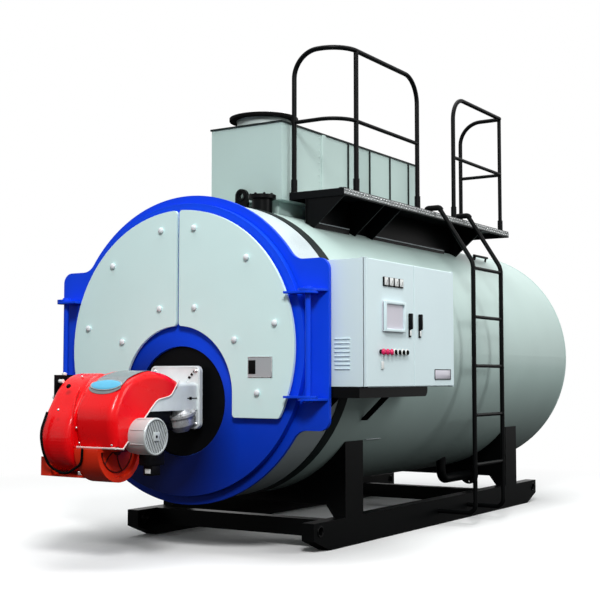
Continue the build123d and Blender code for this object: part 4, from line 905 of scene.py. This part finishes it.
# %% [markdown]
# The plates on the cabinet and on the door stay blank. A thin rim stands round each, and a thin box or a
# dark window lies in it, which catches the light as a real plate does.

# %% Blank plates
rating, rating_rim, window, window_rim = [bmesh.new() for _ in range(4)]
add_box(rating, (LEAF + 0.0025, -1.236, 1.091), (LEAF + 0.0042, -1.008, 1.147), 0.001)
piece("rating_plate_face", rating, RIGHT_LEAF, "cabinet_white", look="panel_pale")
add_tube(rating_rim, edge_loop(lambda y, z: (LEAF + 0.003, y, z), (-1.240, 1.087), (-1.004, 1.151), 0.004),
         0.0024, 6)
piece("rating_plate_rim", rating_rim, RIGHT_LEAF, "cabinet_white", look="panel_dark")
add_box(window, (0.551, -2.3045, 1.120), (0.606, -2.3025, 1.204), 0.001)
piece("name_plate_window", window, DOOR, "plate_grey", look="rubber_black")
add_tube(window_rim, edge_loop(lambda x, z: (x, -2.3035, z), (0.552, 1.1015), (0.724, 1.2225), 0.01), 0.0022, 6)
piece("name_plate_rim", window_rim, DOOR, "plate_grey", look="bright_steel")
print("plates:", 2)

# %% [markdown]
# Pressed louvres let the cabinet breathe on its two ends. They repeat, so a tree lays a flattened
# cylinder on each place.

# %% Louvres
slat_tree, given = new_tree("louvre_slat", {"Length": 0.1, "Depth": 0.008})
slat = add_node(slat_tree, "GeometryNodeMeshCylinder", {"Vertices": 14, "Radius": 0.5, "Depth": 1.0})
lying = add_node(slat_tree, "GeometryNodeTransform", {
    "Geometry": slat.outputs[0], "Rotation": (0.0, radians(90), 0.0)})
end_on_places(slat_tree, given, sized(slat_tree, lying.outputs[0], given["Length"], 0.011, given["Depth"]))
for name, y, out in (("cabinet_louvres", -2.1445, FRONT), ("cabinet_louvres_rear", -0.9435, (0, 1, 0))):
    run_tree(slat_tree, name, facing(out, *[(1.123, y, 1.150 + 0.0255 * k) for k in range(8)]),
             BOILER, "cabinet_white", Length=0.104, Depth=0.014)

# %% [markdown]
# The deck is chequer plate: small lozenges stand on the sheet, every second one turned by a right angle.
# A bump in the material would show them too, but it would leave the mesh flat. The same tree covers the
# top of the deck and its fold on the open side.

# %% Chequer plate
DECK_X, DECK_Y, DECK_TOP = (0.312, 0.745), (-1.475, 1.360), 2.362
lozenge_tree, given = new_tree("chequer_lozenge", {"Length": 0.030, "Width": 0.008, "Height": 0.0025})
cone = add_node(lozenge_tree, "GeometryNodeMeshCone", {
    "Vertices": 8, "Radius Top": 0.22, "Radius Bottom": 0.5, "Depth": 1.0})
end_on_places(lozenge_tree, given, sized(lozenge_tree, cone.outputs[0], given["Length"], given["Width"],
                                         given["Height"], shift=(0.0, 0.0, -0.0008)))
sheet = bmesh.new()
for left, drop in ((DECK_X[0] + 0.001, 0.001), (DECK_X[1] - 0.001, 0.040)):
    add_box(sheet, (left, DECK_Y[0] + 0.001, DECK_TOP - drop),
            (DECK_X[1] + 0.0015, DECK_Y[1] - 0.001, DECK_TOP + 0.0008))
piece("deck_tread_sheet", sheet, BOILER, "checker_deck", look="tread_steel")


def woven(i, j):
    """Every second lozenge leans the other way."""
    return Matrix.Rotation(radians(45 if (i + j) % 2 else -45), 3, "Z")


fold = Matrix.Rotation(radians(90), 3, "Y")
top_places = [((DECK_X[0] + 0.02 + 0.0435 * i, DECK_Y[0] + 0.022 + 0.0405 * j, DECK_TOP + 0.001),
               tuple(woven(i, j).to_euler())) for i in range(10) for j in range(70)]
fold_places = [((DECK_X[1] + 0.0018, DECK_Y[0] + 0.012 + 0.0202 * j, DECK_TOP - 0.030 + 0.019 * i),
                tuple((fold @ woven(i, j)).to_euler())) for i in range(2) for j in range(140)]
run_tree(lozenge_tree, "deck_lozenges", top_places, BOILER, "checker_deck", look="tread_steel",
         Length=0.034, Width=0.0085, Height=0.004)
run_tree(lozenge_tree, "deck_fold_lozenges", fold_places, BOILER, "checker_deck", look="bright_steel",
         Length=0.019, Width=0.006, Height=0.004)

# %% [markdown]
# The ladder hangs on the deck by two hooks with rubber sleeves, and a small handle stands on the shell
# behind it. Pale bars along the lower edge of the brackets and the pads at the front foot are painted
# highlights.

# %% Sleeves, handle and painted edge highlights
sleeves, handle, lines = bmesh.new(), bmesh.new(), bmesh.new()
for y in (-0.105, 0.420):
    hook = rounded([(0.800, y, 2.372), (0.785, y, 2.392), (0.690, y, 2.392), (0.676, y, 2.382)], 0.02, 4)
    add_tube(sleeves, hook, 0.0215, 14)
piece("ladder_hook_sleeves", sleeves, BOILER, "black_paint", look="rubber_black")
add_tube(handle, [(0.470, 1.230, 2.110), (0.480, 1.230, 2.160)], 0.014)
add_tube(handle, [(0.480, 1.215, 2.160), (0.480, 1.500, 2.160)], 0.011)
add_tube(handle, [(0.470, 1.470, 2.110), (0.480, 1.470, 2.160)], 0.009)
piece("shell_handle", handle, BOILER, "black_paint")
# Pale bars along these edges are painted highlights.
for x, start, stop, z, radius in ((0.4915, -0.620, 0.590, 2.140, 0.004), (0.4915, -1.440, -0.970, 2.152, 0.003),
                                  (0.764, -1.225, -1.020, 0.712, 0.004), (0.764, -1.225, -1.020, 0.682, 0.003)):
    add_tube(lines, [(x, start, z), (x, stop, z)], radius, 6)
piece("foot_bar_edges", lines, BOILER, "black_paint", look="plate_grey")
print("ladder dressed")

# %% [markdown]
# Rings soften the rims of the haul holes and of the lifting lugs, which the solids leave sharp. The flue's
# flange gets a ring of black enamel, turned from a closed profile so that the flue stays open.

# %% Rings
hauls, eyes, flange = bmesh.new(), bmesh.new(), bmesh.new()
for x in (-0.7605, -0.6675, 0.6675, 0.7605):
    for y in (-1.805, 1.805):
        add_tube(hauls, circle((x, y, 0.132), ((0, 1, 0), UP), 0.031), 0.0055, 8)
piece("haul_hole_rings", hauls, BOILER, "black_paint")
for lug in (-1.595, 0.545):
    for side in (-0.0155, 0.0155):
        add_tube(eyes, circle((0.0, lug + side, 2.350), (SIDE, UP), 0.034), 0.006, 8)
piece("lifting_eye_rings", eyes, BOILER, "black_paint")
add_turned(flange, [(0.195, -0.0205), (0.2445, -0.0205), (0.2455, -0.018), (0.2455, 0.001), (0.2445, 0.0015),
                    (0.195, 0.0015), (0.195, -0.0205)], FLUE, UP, 64)
piece("flue_flange_paint", flange, BOILER, "flue_paint", look="rubber_black")
print("rings done")

# %% [markdown]
# Weld beads mark where the ladder's rungs and the rail posts meet the steel. One small sphere repeats in
# a circle round each joint, as the drops of a real bead do.

# %% Weld beads
bead_tree, given = new_tree("weld_bead", {"Reach": 0.007})
drop = add_node(bead_tree, "GeometryNodeMeshIcoSphere", {"Radius": 1.0, "Subdivisions": 2})
end_on_places(bead_tree, given, sized(bead_tree, drop.outputs[0], given["Reach"], given["Reach"], given["Reach"]))
beads = [((1.060, y, 0.454 + 0.366 * rung), (SIDE, UP), 0.014, 12) for rung in range(5) for y in (-0.089, 0.404)]
beads += [((x, -1.451, DECK_TOP + 0.002), (SIDE, (0, 1, 0)), 0.022, 14) for x in (0.336, 0.721)]
bead_places = [(tuple(spot), NO_TURN) for centre, pair, radius, count in beads
               for spot in circle(centre, pair, radius, count)[:-1]]
run_tree(bead_tree, "weld_beads", bead_places, BOILER, "black_paint", Reach=0.0045)

# %% [markdown]
# The studio floor is pale paper. The camera sees it white while it keeps the boiler's shadow, and further
# off it fades to the white of the world, so no horizon shows. For the light it is dark, which keeps the
# lower shell deep. More light would make it white too, but would bleach the boiler.

# %% Floor
HALF, FADE_FROM, FADE_TO = 40.0, 2.6, 5.5
floor_mesh = bpy.data.meshes.new("floor")
floor_mesh.from_pydata([(-HALF, -HALF, 0), (HALF, -HALF, 0), (HALF, HALF, 0), (-HALF, HALF, 0)],
                       [], [(0, 1, 2, 3)])
floor = bpy.data.objects.new("floor", floor_mesh)
bpy.context.scene.collection.objects.link(floor)
paper = bpy.data.materials.new("floor_paper")
paper.use_nodes = True
tree = paper.node_tree
shader = tree.nodes["Principled BSDF"]
shader.inputs["Roughness"].default_value = 0.9
shader.inputs["Specular IOR Level"].default_value = 0.0
seen = add_node(tree, "ShaderNodeLightPath").outputs["Is Camera Ray"]
tree.links.new(blend(tree, seen, (0.06, 0.06, 0.06), (0.97, 0.97, 0.97)), shader.inputs["Base Color"])
place = add_node(tree, "ShaderNodeTexCoord").outputs["Object"]
reach = add_node(tree, "ShaderNodeVectorMath", {0: place}, operation="LENGTH").outputs["Value"]
far = add_node(tree, "ShaderNodeMapRange", {"Value": reach, "From Min": FADE_FROM, "From Max": FADE_TO})
fade = math_node(tree, "MULTIPLY", far.outputs["Result"], seen)
white = add_node(tree, "ShaderNodeEmission").outputs[0]
mixed = add_node(tree, "ShaderNodeMixShader", {0: fade, 1: shader.outputs[0], 2: white})
tree.links.new(mixed.outputs[0], tree.nodes["Material Output"].inputs[0])
floor_mesh.materials.append(paper)
print("floor size:", 2 * HALF, "m")

# %% [markdown]
# The world lights the boiler as a soft grey sky, and the camera, glass and gloss see it white.

# %% World
SKY = (0.33, 0.345, 0.345)
world = bpy.data.worlds.new("studio")
bpy.context.scene.world = world
world.use_nodes = True
tree = world.node_tree
tree.nodes.clear()
ray = add_node(tree, "ShaderNodeLightPath").outputs
seen = math_node(tree, "MAXIMUM", ray["Is Camera Ray"], ray["Is Transmission Ray"])
seen = math_node(tree, "MAXIMUM", seen, ray["Is Glossy Ray"])
back = add_node(tree, "ShaderNodeBackground", {"Color": blend(tree, seen, SKY, (1.0, 1.0, 1.0)), "Strength": 1.0})
add_node(tree, "ShaderNodeOutputWorld", {0: back.outputs[0]})
print("world:", world.name)

# %% [markdown]
# Three square area lamps: a wide one overhead, a smaller and stronger one from the burner's side, which
# gives the cast shadows, and one that fills the cabinet's side.

# %% Lamps
for name, spot, aim, size, power in (("lamp_top", (0.5, -0.5, 8.0), (0.0, 0.0, 1.0), 7.0, 640.0),
                                     ("lamp_front", (4.6, -8.0, 6.4), (0.0, -2.0, 1.2), 1.8, 530.0),
                                     ("lamp_side", (8.5, 1.0, 4.5), (0.8, 0.0, 1.3), 4.0, 255.0)):
    light = bpy.data.lights.new(name, "AREA")
    light.size, light.energy = size, power
    lamp = bpy.data.objects.new(name, light)
    lamp.location = spot
    lamp.rotation_euler = (Vector(aim) - Vector(spot)).to_track_quat("-Z", "Y").to_euler()
    bpy.context.scene.collection.objects.link(lamp)
print("lamps:", len(bpy.data.lights))

# %% [markdown]
# The camera stands where the photograph was taken, low and to the right, and looks up a little.
# Its place and lens were solved from the corners of the boiler that show in the photograph.

# %% Camera at the photograph's angle
lens = bpy.data.cameras.new("camera")
lens.lens, lens.sensor_width = 69.9, 36.0
camera = bpy.data.objects.new("camera", lens)
camera.location = (4.629, -8.116, 1.100)
camera.rotation_euler = (radians(90 + 3.8), 0.0, radians(32.5))
bpy.context.scene.collection.objects.link(camera)
bpy.context.scene.camera = camera
bpy.context.scene.view_settings.view_transform = "Standard"
print("camera at", tuple(camera.location))
